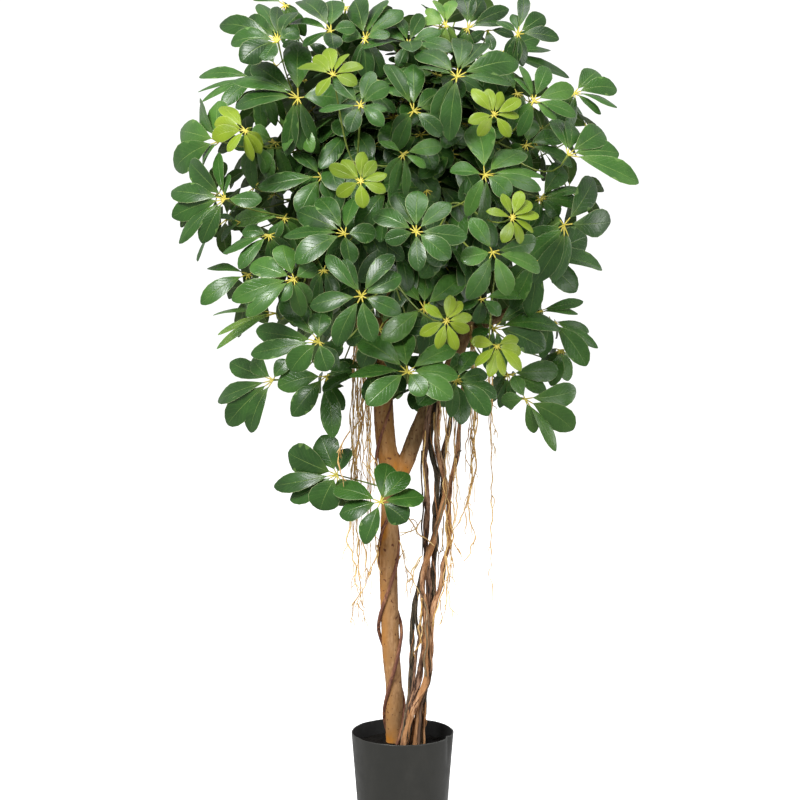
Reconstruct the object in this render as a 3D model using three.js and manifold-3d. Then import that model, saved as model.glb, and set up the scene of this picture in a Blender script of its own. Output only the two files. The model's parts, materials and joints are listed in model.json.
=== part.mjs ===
// A potted umbrella plant: a dwarf schefflera grown as a small tree, about 1.5 m tall.
// A forked trunk stands in a black plastic pot with two thin vines wound round it and five woody lianas
// beside it. Leafy stems leave the boughs, and each carries hand-shaped leaves on long stalks.
// Units are millimetres. +Z is up, the origin is the middle of the pot's base, and the front is -Y.
import * as THREE from "three";
import { mergeVertices } from "three/addons/utils/BufferGeometryUtils.js";
import Module from "manifold-3d";

const wasm = await Module();
wasm.setup();

// ---- Driving dimensions ----
const POT_HEIGHT = 160;
const POT_RIM_RADIUS = 89;
const POT_BASE_RADIUS = 76;
const POT_WALL = 2.4;
const POT_FLOOR = 3;
const SOIL_DROP = 20; // from the pot's rim down to the soil
const CROWN_MIDDLE = 1099; // height of the crown's middle
const CROWN_SIDE = 368; // from the middle out to the leaf hubs at the left and right
const CROWN_RISE = 405; // from the middle up to the leaf hubs
const CROWN_DEPTH = 290; // from the middle to the leaf hubs at the front and the back
const STEM_SHARE = 0.5; // how far out towards the leaf hubs a leafy stem reaches
const STEM_COUNT = 18;
const HIDDEN_LEAVES = 60; // leaves spread over the whole crown, before those in the front view are left out
const HIDDEN_LEAFLETS = 6; // on each of them
const LOWEST_HIDDEN = 765; // height of the lowest of them
const DRAWN_IN = 32; // how far those behind lie inside the surface, out of the front view's outline
const LEAFLET_LENGTH = 92;
const VALLEY = 13; // from the hub out to where two leaflets part
const CLEAR = 0.4; // air between two pieces that touch on the real plant
const NEAREST = 0.3; // the least air that a leaf keeps to any other piece

// ---- The front view that the leaves are set out in ----
// A place in it is a column and a row of an 800 by 800 picture, and a distance in front of the pot's axis.
const EYE_DISTANCE = 2700;
const EYE_HEIGHT = 899;
const AIM_HEIGHT = 738;
const STEP = 1.72; // millimetres to a column or row, at the pot's axis
const VIEW_MIDDLE = 400;
const AXIS_COLUMN = 402.5;
const CROWN_ROW = 190;
const CROWN_COLUMNS = 240; // from the middle out to the crown's outline

/**
 * The leaves of the front view. Each has its hub, then the tips of the leaflets that show. Tall is how tall the
 * leaf looks against its width, where the tips don't tell, and a whole leaf has no leaflets but those that show.
 */
const FRONT_LEAVES = [
  {
    hub: [278, 41],
    tips: [
      [215, 23], [231, 43], [247, 19], [257, 0], [278, 6],
      [296, 12], [298, 31], [264, 61], [241, 62],
    ],
  },
  { hub: [331, 31], tips: [[301, 0], [289, 24], [331, 0], [353, 28], [303, 47], [333, 43]] },
  { hub: [365, 39], tips: [[354, 0], [385, 0], [402, 10], [347, 36], [386, 34]] },
  { hub: [345, 7], tips: [[330, -20]] },
  { hub: [301, 109], tips: [[229, 89], [256, 75], [239, 118], [302, 53], [346, 111]], tall: 0.92 },
  { hub: [300, 126], tips: [[286, 156], [314, 157]] },
  { hub: [360, 117], tips: [[304, 129], [326, 83], [376, 74], [400, 95], [346, 159], [392, 150], [397, 128]] },
  { hub: [254, 144], tips: [[272, 179]] },
  { hub: [273, 138], tips: [[250, 126], [231, 142], [262, 170]] },
  { hub: [219.6, 141], tips: [[200, 103], [218, 101], [175, 129], [162, 157], [173, 169], [203, 167]], whole: true },
  { hub: [322, 177], tips: [[259, 187], [300, 215], [332, 200], [296, 152]] },
  {
    hub: [225, 199],
    tips: [
      [171.5, 191], [190, 163], [218, 153], [229, 175],
      [172, 217], [179, 243], [202, 243], [262, 199],
    ],
  },
  { hub: [258, 80], tips: [[214, 69], [197, 76], [198, 92], [202, 102], [222, 107]] },
  { hub: [285, 5], tips: [[250, -8]] },
  { hub: [408.5, 44], tips: [[398, 16], [423, 15], [385, 28], [441, 31], [398, 67]] },
  { hub: [446, 25], tips: [[434, 0], [453, 0], [422, 22], [426, 9]], tint: "olive" },
  { hub: [468, 28], tips: [[462, -4], [483, -2], [509, 9], [503, 24]] },
  { hub: [518, 34], tips: [[523, -4], [544, 15], [559, 39], [512, 14], [502, 23]] },
  { hub: [499, 54], tips: [[540, 36], [550, 50], [570, 78]] },
  { hub: [457, 77], tips: [[416, 51], [418, 67], [460, 35], [488, 37], [521, 60], [511, 84]] },
  { hub: [413.5, 111], tips: [[388, 64], [413, 64], [441, 92], [462, 103], [464, 134], [442, 136]] },
  { hub: [517, 93], tips: [[500, 70]] },
  { hub: [533.6, 101], tips: [[514, 77], [521, 66], [548, 67], [574, 89], [576, 116], [557, 119]] },
  { hub: [574, 93], tips: [[597, 71], [617, 89], [617, 107], [601, 114]] },
  {
    hub: [568, 155],
    tips: [
      [553, 119], [570, 122], [583, 117], [603, 131],
      [619, 153], [625, 164], [643, 184], [640, 196],
    ], whole: true,
  },
  { hub: [526, 145], tips: [[531, 119], [562, 139], [572, 167]] },
  { hub: [484.5, 175], tips: [[475, 124], [450, 172], [544, 177], [541, 190], [510, 197], [523, 151]] },
  { hub: [403, 154], tips: [[380, 141], [442, 146], [422, 165]] },
  { hub: [425.5, 194], tips: [[398, 166], [441, 160], [370, 193]] },
  { hub: [540, 199], tips: [[564, 168], [580, 188], [579, 204], [553, 212]] },
  { hub: [284, 218], tips: [[273, 241], [232, 222]] },
  { hub: [269, 235], tips: [[223, 253], [239, 269], [242, 232]] },
  { hub: [344.8, 234], tips: [[284, 236], [297, 211], [319, 198], [356, 196], [376, 236], [351, 265], [296, 263]] },
  {
    hub: [361.4, 296],
    tips: [
      [326, 256], [345, 258], [394, 255], [401, 276],
      [310, 306], [337, 346], [374, 341], [401, 313],
    ],
  },
  { hub: [248, 274], tips: [[208, 268], [216, 287], [201, 304]] },
  { hub: [294, 279], tips: [[252, 263], [283, 245], [232, 300], [246, 316], [281, 299], [312, 268]] },
  { hub: [324, 270], tips: [[335, 300]] },
  { hub: [276, 313], tips: [[213, 315], [218, 335], [217, 349]], tint: "olive", tall: 0.6, whole: true },
  { hub: [319, 342], tips: [[284, 297], [256, 331], [251, 354], [291, 371], [328, 371], [322, 313]] },
  { hub: [273, 380], tips: [[230, 362], [214, 401], [219, 432], [250, 432], [253, 358], [286, 361]], whole: true },
  { hub: [326, 376], tips: [[278, 387], [292, 416], [333, 438], [344, 410], [352, 371]] },
  {
    hub: [416, 232],
    tips: [
      [373, 214], [394, 194], [419, 191], [450, 203],
      [467, 237], [450, 259], [419, 271], [385, 240],
    ],
  },
  { hub: [492.5, 252], tips: [[471, 218], [460, 259], [467, 299], [509, 295], [540, 271], [536, 242]] },
  { hub: [535, 259], tips: [[556, 211], [592, 234], [604, 269], [576, 292]] },
  { hub: [564, 225], tips: [[594, 179], [605, 190], [611, 222], [629, 239], [617, 253]] },
  { hub: [481, 299], tips: [[470, 275], [523, 297], [495, 311], [464, 306]] },
  { hub: [424, 308], tips: [[394, 269], [427, 268], [462, 277], [382, 341]] },
  { hub: [494, 328], tips: [[542, 296], [560, 329], [545, 350], [478, 336], [465, 309]] },
  { hub: [537, 312], tips: [[583, 301], [578, 314]] },
  { hub: [551, 321], tips: [[589, 332], [598, 348], [586, 366]] },
  {
    hub: [407.5, 372],
    tips: [
      [361, 340], [401, 337], [455, 347], [350, 376],
      [367, 405], [424, 396], [452, 399], [458, 377],
    ],
  },
  { hub: [525, 399], tips: [[503, 402], [514, 376], [576, 390], [573, 430], [556, 451], [534, 433]] },
  { hub: [456, 380], tips: [[488, 416], [497, 397], [487, 374], [476, 352]] },
  { hub: [509, 373], tips: [[559, 370], [547, 390]] },
  { hub: [560, 350], tips: [[568, 381], [551, 386]] },
  { hub: [276, 66], tips: [[244, 72], [262, 48], [294, 58]], whole: true },
  { hub: [306, 44], tips: [[284, 46], [300, 64], [328, 54]], whole: true },
  { hub: [488, 30], tips: [[470, 42], [492, 48], [514, 36]], whole: true },
  { hub: [240, 222], tips: [[214, 216], [222, 242]], whole: true },
];

/** The two leaves that hang under the crown, and how far they stand in front of the pot's axis. */
const LOW_LEAVES = [
  { hub: [337.6, 475], tips: [[322, 436], [289, 453], [275, 486], [291, 500], [321, 510], [346, 449]], forward: 62 },
  {
    hub: [381, 503],
    tips: [
      [387.5, 465], [407, 474], [424, 498], [407, 523],
      [365, 545], [340, 515], [334, 490],
    ], forward: 78,
  },
];

/** The lime-green young leaves of the front view. */
const YOUNG_LEAVES = [
  { hub: [333, 75], tips: [[298, 68], [313, 57], [327, 48], [347, 54], [363, 67], [352, 83], [317, 96]] },
  {
    hub: [360.5, 181.6],
    tips: [
      [329, 167], [342, 160], [364, 152], [375, 162],
      [383, 175], [376, 188], [363, 203], [342, 193],
    ],
  },
  { hub: [252, 140], tips: [[228, 116], [221, 134], [219, 148], [234, 161]] },
  {
    hub: [494, 115],
    tips: [
      [472, 89], [487, 89], [502, 92], [520, 99],
      [518, 116], [509, 136], [484, 128], [472, 121],
    ],
  },
  {
    hub: [512, 218],
    tips: [
      [489, 212], [504, 197], [521, 191], [531, 202],
      [538, 214], [533, 232], [520, 243], [504, 238],
    ],
  },
  {
    hub: [446, 321],
    tips: [
      [431, 309], [450, 295], [461, 303], [472, 317],
      [469, 331], [457, 350], [438, 349], [420, 335],
    ],
  },
  { hub: [496.5, 345.5], tips: [[476, 342], [516, 340], [520, 353], [521, 371], [475, 366], [489, 377], [504, 376]] },
];

const vec = (x, y, z) => new THREE.Vector3(x, y, z);
const { lerp, clamp } = THREE.MathUtils;
const UP = vec(0, 0, 1);
const range = (count) => Array.from({ length: count }, (_, i) => i);

/** A repeatable random share from 0 to 1 for a number. */
function chance(seed) {
  const wave = Math.sin(seed * 12.9898) * 43758.5453;
  return wave - Math.floor(wave);
}

// ---- The front view ----
const EYE = vec((VIEW_MIDDLE - AXIS_COLUMN) * STEP, -EYE_DISTANCE, EYE_HEIGHT);
const AIM = vec(EYE.x, 0, AIM_HEIGHT).sub(EYE);
const FOCAL = AIM.length() / STEP;
AIM.normalize();
const UPRIGHT = vec(0, -AIM.z, AIM.y);

/** The line of sight through a column and row. */
function sight(column, row) {
  const aside = vec((column - VIEW_MIDDLE) / FOCAL, 0, 0);
  return AIM.clone().add(aside).addScaledVector(UPRIGHT, (VIEW_MIDDLE - row) / FOCAL);
}

/** The point that shows at a column and row, a distance in front of the pot's axis. */
function seen(column, row, forward) {
  const line = sight(column, row);
  return EYE.clone().addScaledVector(line, (EYE_DISTANCE - forward) / line.y);
}

/** The point of a plane that shows at a column and row. */
function seenOnPlane(column, row, point, normal) {
  const line = sight(column, row);
  const distance = point.clone().sub(EYE).dot(normal) / line.dot(normal);
  return EYE.clone().addScaledVector(line, distance);
}

// ---- Solids ----

/** A closed geometry from points and triangles. */
function geometryOf(points, triangles) {
  const geometry = new THREE.BufferGeometry();
  const numbers = points.flatMap((p) => p.toArray());
  geometry.setAttribute("position", new THREE.Float32BufferAttribute(numbers, 3));
  geometry.setIndex(triangles.flat());
  return geometry;
}

/** A geometry as a solid that can be joined and cut. */
function solidOf(geometry) {
  const bare = geometry.clone();
  bare.deleteAttribute("normal");
  bare.deleteAttribute("uv");
  const merged = mergeVertices(bare, 1e-3);
  return new wasm.Manifold(
    new wasm.Mesh({
      numProp: 3,
      vertProperties: merged.attributes.position.array,
      triVerts: new Uint32Array(merged.index.array),
    }),
  );
}

/** The largest body of a solid, so that a scrap cut loose or a sealed hollow is dropped. */
function largestBody(solid) {
  return solid.decompose().reduce((best, body) => (body.volume() > best.volume() ? body : best));
}

/** The triangles of a band between two rings of points, which start at two indices. */
function band(low, high, sides) {
  return range(sides).flatMap((i) => {
    const next = (i + 1) % sides;
    return [
      [low + i, low + next, high + next],
      [low + i, high + next, high + i],
    ];
  });
}

/** A value of a list at a place between 0 at its first item and 1 at its last. */
function along(list, share) {
  const place = clamp(share, 0, 1) * (list.length - 1);
  const low = Math.min(Math.floor(place), list.length - 2);
  return lerp(list[low], list[low + 1], place - low);
}

/** A closed tube with flat ends. A strand has a path, radii along it, sides and rings. */
function tube({ path, radii, sides, rings }, grown = 0) {
  const curve = new THREE.CatmullRomCurve3(path, false, "centripetal");
  const frames = curve.computeFrenetFrames(rings, false);
  const corners = [];
  const faces = [];
  for (const ring of range(rings + 1)) {
    const middle = curve.getPointAt(ring / rings);
    const radius = along(radii, curve.getUtoTmapping(ring / rings)) + grown;
    if (ring === 0) middle.addScaledVector(frames.tangents[0], -grown);
    if (ring === rings) middle.addScaledVector(frames.tangents[rings], grown);
    for (const i of range(sides)) {
      const turn = (2 * Math.PI * i) / sides;
      const corner = middle.clone().addScaledVector(frames.normals[ring], radius * Math.cos(turn));
      corners.push(corner.addScaledVector(frames.binormals[ring], radius * Math.sin(turn)));
    }
    if (ring > 0) faces.push(...band((ring - 1) * sides, ring * sides, sides));
  }
  const last = rings * sides;
  for (const i of range(sides - 2)) {
    faces.push([0, i + 2, i + 1], [last, last + i + 1, last + i + 2]);
  }
  return solidOf(geometryOf(corners, faces));
}

/** Strands joined into one solid, with a little grown onto each radius and end. */
function joined(strands, grown = 0) {
  return strands.map((strand) => tube(strand, grown)).reduce((whole, piece) => whole.add(piece));
}

// ---- What stands where: each piece is kept with its box, so that later ones can be bent clear ----
const standing = [];

function stand(solid, node, part = node) {
  standing.push({ solid, node, part, box: solid.boundingBox() });
  return solid;
}

function boxesMeet(a, b) {
  return range(3).every((i) => a.min[i] < b.max[i] + 1 && b.min[i] < a.max[i] + 1);
}

/** Whether a solid keeps clear of everything that stands, apart from the pieces that are passed over. */
function isClear(solid, passOver) {
  const box = solid.boundingBox();
  return standing.every(
    (other) => passOver(other) || !boxesMeet(box, other.box) || solid.minGap(other.solid, 1) >= NEAREST,
  );
}

// ---- The wood: a forked trunk with its leaders and boughs ----

/** A strand whose path is columns and rows of the front view, each with its distance in front. */
function woodStrand(places, radii, sides, rings) {
  return { path: places.map(([column, row, forward]) => seen(column, row, forward)), radii, sides, rings };
}

const LEFT_LEADER = woodStrand(
  [
    [396, 776, -16], [394.5, 733, -14], [394, 690, -10], [391, 650, -6], [389.5, 610, -2], [388.5, 560, 0],
    [390, 515, 0], [392, 480, 0], [386, 444, 0], [383.5, 409, -2], [385, 360, -8], [388, 300, -12],
    [385, 255, -10], [390, 205, -8], [391, 150, -4], [396, 95, 0], [400, 45, 0],
  ],
  [15, 14, 13.8, 14.2, 14.6, 14.2, 14.8, 18, 16, 15.8, 13, 11.5, 10, 9, 7.5, 6.5, 4.5],
  9,
  19,
);
const RIGHT_LEADER = woodStrand(
  [
    [395, 490, 0], [405.5, 463, -3], [417.5, 431, -8], [430.5, 402, -14], [449, 370, -18], [464, 336, -22],
    [474, 290, -30], [478, 240, -34], [470, 190, -30],
  ],
  [12, 13, 12.5, 11.5, 11, 10, 9, 7.5, 6],
  8,
  10,
);
const BOUGHS = [
  woodStrand([[386, 330, -10], [362, 312, -4], [332, 296, 6], [300, 285, 14]], [8, 7.5, 6.5, 5], 5, 4),
  woodStrand([[386, 262, -10], [360, 225, -40], [328, 190, -60], [304, 150, -70]], [8, 7, 6, 4.5], 5, 4),
  woodStrand([[465, 334, -22], [490, 322, -50], [514, 308, -72], [532, 296, -85]], [8, 7, 6, 4.5], 5, 4),
  woodStrand([[476, 275, -32], [500, 235, -80], [515, 190, -110], [515, 140, -120]], [7.5, 7, 6, 4.5], 5, 4),
  woodStrand([[390, 205, -8], [408, 180, -20], [422, 160, -26], [440, 110, -30], [452, 70, -30]], [7, 7, 6, 5, 4], 5, 5),
  woodStrand([[387, 290, -12], [392, 262, 40], [400, 240, 80], [408, 215, 110]], [8, 7, 6, 4.5], 5, 4),
  woodStrand([[387, 305, -12], [380, 280, -70], [372, 240, -130], [375, 190, -160]], [8, 7, 6, 4.5], 5, 4),
];
const WOOD = [LEFT_LEADER, RIGHT_LEADER, ...BOUGHS];
const trunk = stand(largestBody(joined(WOOD)), "trunk");
const roomForWood = joined(WOOD, CLEAR);

// ---- The two vines wound round the trunk, half a turn apart ----
const VINE_RADIUS = 3.2;
const VINE_PITCH = 163; // rows to a turn
const VINE_FRONT_ROWS = [588, 674]; // a row where each crosses the front
const VINE_TOP_ROW = 400;
const VINE_FOOT_ROW = 768;
const VINE_STEPS = 14; // to a turn
const VINE_ROOM = 1.2; // from the trunk to the vine at its corners, as its sides cut in between them

/** A point of the trunk's middle line, and its radius there, at a row of the front view. */
function trunkAt(row) {
  const curve = new THREE.CatmullRomCurve3(LEFT_LEADER.path, false, "centripetal");
  const height = seen(AXIS_COLUMN, row, 0).z;
  let [low, high] = [0, 1];
  for (const _ of range(24)) {
    const middle = (low + high) / 2;
    if (curve.getPoint(middle).z < height) low = middle;
    else high = middle;
  }
  return { point: curve.getPoint(low), radius: along(LEFT_LEADER.radii, low) };
}

function vineStrand(frontRow) {
  const count = Math.round(((VINE_FOOT_ROW - VINE_TOP_ROW) / VINE_PITCH) * VINE_STEPS);
  const path = range(count + 1).map((i) => {
    const row = lerp(VINE_FOOT_ROW, VINE_TOP_ROW, i / count);
    const turn = Math.PI / 2 + (2 * Math.PI * (row - frontRow)) / VINE_PITCH;
    const { point, radius } = trunkAt(row);
    const out = radius + VINE_RADIUS + VINE_ROOM;
    return point.add(vec(out * Math.cos(turn), -out * Math.sin(turn), 0));
  });
  return { path, radii: [VINE_RADIUS, VINE_RADIUS, VINE_RADIUS * 0.8], sides: 4, rings: count };
}

const VINES = VINE_FRONT_ROWS.map(vineStrand);
const vines = VINES.map((strand, i) => stand(tube(strand).subtract(roomForWood), `twining_vine_${i + 1}`));

// ---- The lianas: five woody strands that climb from the soil beside the trunk and cross one another ----
const LIANA_RADII = [4.8, 4.7, 4.6, 4.5, 4.3, 4.1, 3.8];
const LIANA_BROWN = 0x96623e;
const LIANA_DARK = 0x4b4137;
const LIANA_TABLE = [
  {
    color: LIANA_BROWN,
    girth: 1,
    places: [
      [402, 776, 38], [403.5, 743, 38], [408.5, 725, 37], [413.5, 711, 36], [419, 699, 35], [424, 686, 34],
      [426.5, 672, 33], [425, 655, 33], [426, 635, 32], [425.5, 617, 31], [423, 600, 30], [422.5, 585, 29],
      [424.5, 569, 28], [428.5, 556, 27], [433, 541, 26], [436, 529, 25], [440.5, 514, 24], [444.5, 500, 23],
      [445, 488, 22], [442.5, 474, 20], [439.5, 460, 18], [437, 442, 15], [437.5, 420, 14], [440, 400, 12],
      [442, 384, 12],
    ],
  },
  {
    color: LIANA_DARK,
    girth: 1,
    places: [
      [404, 776, 24], [405.5, 743, 25], [408, 726, 25], [411, 710, 24], [414.5, 697, 23], [418, 682, 22],
      [420.5, 665, 21], [423.5, 650, 20], [424, 632, 19], [427, 610, 18], [428.5, 590, 16], [427.5, 570, 15],
      [426, 550, 15], [426, 530, 15], [427.5, 508, 15], [426.5, 482, 15], [424.8, 455, 15], [427, 425, 14],
      [431, 402, 12], [434, 384, 10],
    ],
  },
  {
    color: LIANA_DARK,
    girth: 0.84,
    places: [
      [403, 776, 13], [404, 740, 13], [406, 722, 13], [407.8, 708, 12], [409.8, 695, 11], [411.2, 682, 10],
      [411.8, 668, 10], [412, 650, 9], [411.5, 636, 8], [412.5, 620, 7], [414.5, 606, 6], [417.5, 592, 4],
      [421, 578, 2], [426, 562, 0], [432, 545, -1], [437, 525, -1], [440.5, 506, 0], [442, 490, 2],
      [443, 476, 4], [442.5, 464, 6], [444, 451, 8], [447.5, 438, 10], [450, 424, 10], [451.5, 405, 9],
      [452, 384, 8],
    ],
  },
  {
    color: LIANA_BROWN,
    girth: 0.86,
    places: [
      [413, 776, 26], [414.5, 743, 26], [416, 728, 26], [418, 715, 25.5], [421, 703, 24.5], [424.5, 692, 23],
      [428, 680, 22], [429.8, 668, 21], [430.3, 655, 21.5], [431, 640, 22], [432, 626, 22], [432.8, 613, 22],
      [435.2, 602, 22], [439.5, 590, 22], [442, 577, 22], [443.6, 563, 22], [447.5, 550, 21], [449.3, 536, 20],
      [449.3, 520, 17], [449, 503, 14], [449.8, 487, 12.5], [452.5, 473, 14], [456, 460, 15], [458.5, 445, 15],
      [459.3, 428, 14], [461, 410, 12], [463, 384, 9],
    ],
  },
  {
    color: LIANA_DARK,
    girth: 0.97,
    places: [
      [421, 776, 12], [422, 743, 12], [422.8, 728, 12], [424, 712, 12], [424.5, 698, 11], [426.5, 682, 10],
      [428, 665, 8], [429, 648, 7], [430.5, 630, 7], [432, 612, 7], [433, 595, 7], [433, 578, 7],
      [434, 561, 9], [435.7, 543, 11], [434.5, 524, 12], [435.5, 506, 11], [437.3, 488, 10], [436.3, 472, 9],
      [432.5, 457, 8], [430.8, 442, 6], [433, 420, 4], [436, 402, 3], [438.5, 384, 4],
    ],
  },
];
const LIANAS = LIANA_TABLE.map(({ places, girth }) => woodStrand(places, LIANA_RADII.map((r) => r * girth), 6, 24));
const lianas = LIANAS.map((strand, i) => stand(tube(strand), `liana_${i + 1}`));

// ---- The aerial roots: each bunch has one long root with finer ones off it ----
const AERIAL_ROOTS = [
  { places: [[358, 311, -4], [360, 345, 4], [357, 400, 10], [353, 470, 14], [352, 560, 22], [349.6, 627, 22]], fine: 6 },
  { places: [[379, 325, -8], [374, 352, 10], [373, 410, 26], [370, 480, 28], [369, 560, 30], [369, 628, 30]], fine: 5 },
  { places: [[470, 318, -24], [474, 352, 4], [472, 400, 14], [470, 470, 16], [466, 520, 16], [464, 561, 16]], fine: 5 },
  { places: [[493, 320.5, -53], [494, 350, -18], [492, 400, 6], [491, 470, 10], [493, 520, 10], [491, 590, 10]], fine: 3 },
  { places: [[453, 362, -18], [463, 384, 20], [469, 440, 48], [462, 500, 52], [457, 560, 50], [459, 616, 46]], fine: 4 },
];
const ROOT_RADII = [2.6, 2.2, 1.5];
const FINE_ROOT_RADII = [1.5, 1.2, 0.9];

function fineRoot(main, seed) {
  const curve = new THREE.CatmullRomCurve3(main.path, false, "centripetal");
  const from = lerp(0.12, 0.6, chance(seed));
  const start = curve.getPoint(from);
  const drop = lerp(90, 230, chance(seed + 0.3));
  const aside = vec(lerp(-26, 26, chance(seed + 0.5)), lerp(-18, 18, chance(seed + 0.7)), 0);
  const bend = start.clone().addScaledVector(aside, 0.8).add(vec(0, 0, -0.3 * drop));
  const end = start.clone().add(aside).add(vec(0, 0, -drop));
  return { path: [start, bend, end], radii: FINE_ROOT_RADII, sides: 3, rings: 4 };
}

/** A bunch of roots, without the fine ones that can't hang clear of the rest. */
function rootBunch({ places, fine }, index) {
  const node = `aerial_root_${index + 1}`;
  const main = woodStrand(places, ROOT_RADII, 4, 9);
  const strands = [tube(main)];
  for (const i of range(fine * 3)) {
    const strand = tube(fineRoot(main, 10 * index + 0.91 * i + 3));
    if (strands.length <= fine && isClear(strand, (other) => other.node === node)) strands.push(strand);
  }
  const whole = strands.reduce((sum, strand) => sum.add(strand)).subtract(roomForWood);
  return stand(largestBody(whole), node);
}

const roots = AERIAL_ROOTS.map(rootBunch);

// ---- The leafy stems: spread evenly over a smaller crown, each from the nearest wood ----
const GOLDEN_TURN = Math.PI * (3 - Math.sqrt(5));
const CROWN_CENTRE = vec(0, 0, CROWN_MIDDLE);
const STEM_RADII = [5.2, 4.4, 3.4];

/** The direction of one of a number of points spread evenly over a ball. */
function spreadDirection(index, count) {
  const height = 1 - (2 * index + 1) / count;
  const wide = Math.sqrt(1 - height * height);
  const turn = GOLDEN_TURN * index;
  return vec(wide * Math.cos(turn), wide * Math.sin(turn), height);
}

/** The point of the crown's surface of leaf hubs in a direction, or of a smaller copy of it. */
function onCrown(direction, share = 1) {
  const size = vec(CROWN_SIDE, CROWN_DEPTH, CROWN_RISE).multiplyScalar(share);
  return direction.clone().multiply(size).add(CROWN_CENTRE);
}

const feet = []; // where the leafy stems leave the wood

/** The point of the wood's middle lines that is nearest to a place and away from the feet taken. */
function nearestWood(place) {
  const lines = WOOD.flatMap((strand) => {
    const curve = new THREE.CatmullRomCurve3(strand.path, false, "centripetal");
    return curve.getSpacedPoints(24).filter((p) => p.z > CROWN_MIDDLE - CROWN_RISE);
  });
  const free = lines.filter((p) => feet.every((taken) => taken.distanceTo(p) > 26));
  const foot = free.reduce((best, p) => (p.distanceTo(place) < best.distanceTo(place) ? p : best));
  feet.push(foot);
  return foot;
}

/** A leafy stem that ends at a tip. Its middle is moved aside where it would cross another. */
function stemStrand(tip) {
  const out = Math.hypot(tip.x, tip.y);
  const foot = nearestWood(tip.clone().add(vec(0, 0, -0.35 * out)));
  const sag = vec(0, 0, -0.08 * foot.distanceTo(tip));
  const asides = [vec(0, 0, 0), vec(18, 0, 0), vec(-18, 0, 0), vec(0, 18, 0), vec(0, -18, 0), vec(0, 0, 24)];
  const strands = asides.map((aside) => {
    const middle = foot.clone().lerp(tip, 0.5).add(sag).add(aside);
    return { path: [foot, middle, tip], radii: STEM_RADII, sides: 5, rings: 5 };
  });
  return strands.find((strand) => isClear(tube(strand), (other) => other.node === "trunk")) ?? strands[0];
}

const LOW_STEM = woodStrand([[389, 494, 4], [386, 490, 26], [384, 488, 40]], [3.4, 3, 2.4], 5, 4);
const STEMS = [];
for (const i of range(STEM_COUNT + 1)) {
  const tip = onCrown(spreadDirection(i, STEM_COUNT), STEM_SHARE);
  const strand = i < STEM_COUNT ? stemStrand(tip) : LOW_STEM;
  STEMS.push(strand);
  stand(largestBody(tube(strand).subtract(roomForWood)), `leafy_stem_${i + 1}`, "stem");
}

// ---- How the leaves are set out ----
// A leaf has a hub, the normal of its upper side and the tips of its leaflets, in order round the hub.
const LONGEST = 124;
const SHORTEST = 42;
const DROOP = 0.12; // how far the tips hang below the hub, as a share of their length
const CLOSEST_TURN = 0.24; // between two leaflets of a leaf
const OFFSETS = [0, -14, -28, -42, -56, -70, -84, -98, -112, -126, -140, -156]; // tried from the crown's surface

/** A direction of a leaf's plane, turned from the one that points up most steeply. */
function leafDirection(normal, turn) {
  const first = UP.clone().addScaledVector(normal, -UP.dot(normal)).normalize();
  const second = normal.clone().cross(first);
  return first.multiplyScalar(Math.cos(turn)).addScaledVector(second, Math.sin(turn));
}

function leafTurn(normal, arm) {
  return Math.atan2(arm.dot(leafDirection(normal, Math.PI / 2)), arm.dot(leafDirection(normal, 0)));
}

/** The place of a leaflet's tip from its turn and length. */
function tipAt({ hub, normal }, turn, length) {
  return hub.clone().addScaledVector(leafDirection(normal, turn), length).addScaledVector(normal, -DROOP * length);
}

/** A leaf from its known tips, with leaflets added where the gap between two of them is wide. */
function leafFrom(hub, normal, known, widest, seed) {
  const arms = known
    .map((tip) => ({ turn: leafTurn(normal, tip.clone().sub(hub)), length: tip.distanceTo(hub) }))
    .map(({ turn, length }) => ({ turn, length: clamp(length, SHORTEST, LONGEST) }))
    .sort((a, b) => a.turn - b.turn);
  const usual = known.length < 4 ? LEAFLET_LENGTH * 0.9 : arms.reduce((sum, arm) => sum + arm.length, 0) / arms.length;
  const whole = [];
  arms.forEach((arm, i) => {
    const next = arms[(i + 1) % arms.length];
    const gap = i + 1 < arms.length ? next.turn - arm.turn : next.turn + 2 * Math.PI - arm.turn;
    if (gap >= CLOSEST_TURN) whole.push(arm);
    const added = gap > widest ? Math.round(gap / 0.88) - 1 : 0;
    for (const n of range(added)) {
      const length = usual * lerp(0.8, 1, chance(seed + 0.7 * i + 0.13 * n));
      whole.push({ turn: arm.turn + (gap * (n + 1)) / (added + 1), length });
    }
  });
  const tips = whole.map(({ turn, length }) => tipAt({ hub, normal }, turn, length));
  const middle = tips.reduce((sum, tip) => sum.add(tip), vec(0, 0, 0)).divideScalar(tips.length);
  const reach = tips.reduce((sum, tip) => sum + tip.distanceTo(middle), 0) / tips.length;
  return { hub, normal, tips, middle, reach };
}

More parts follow.
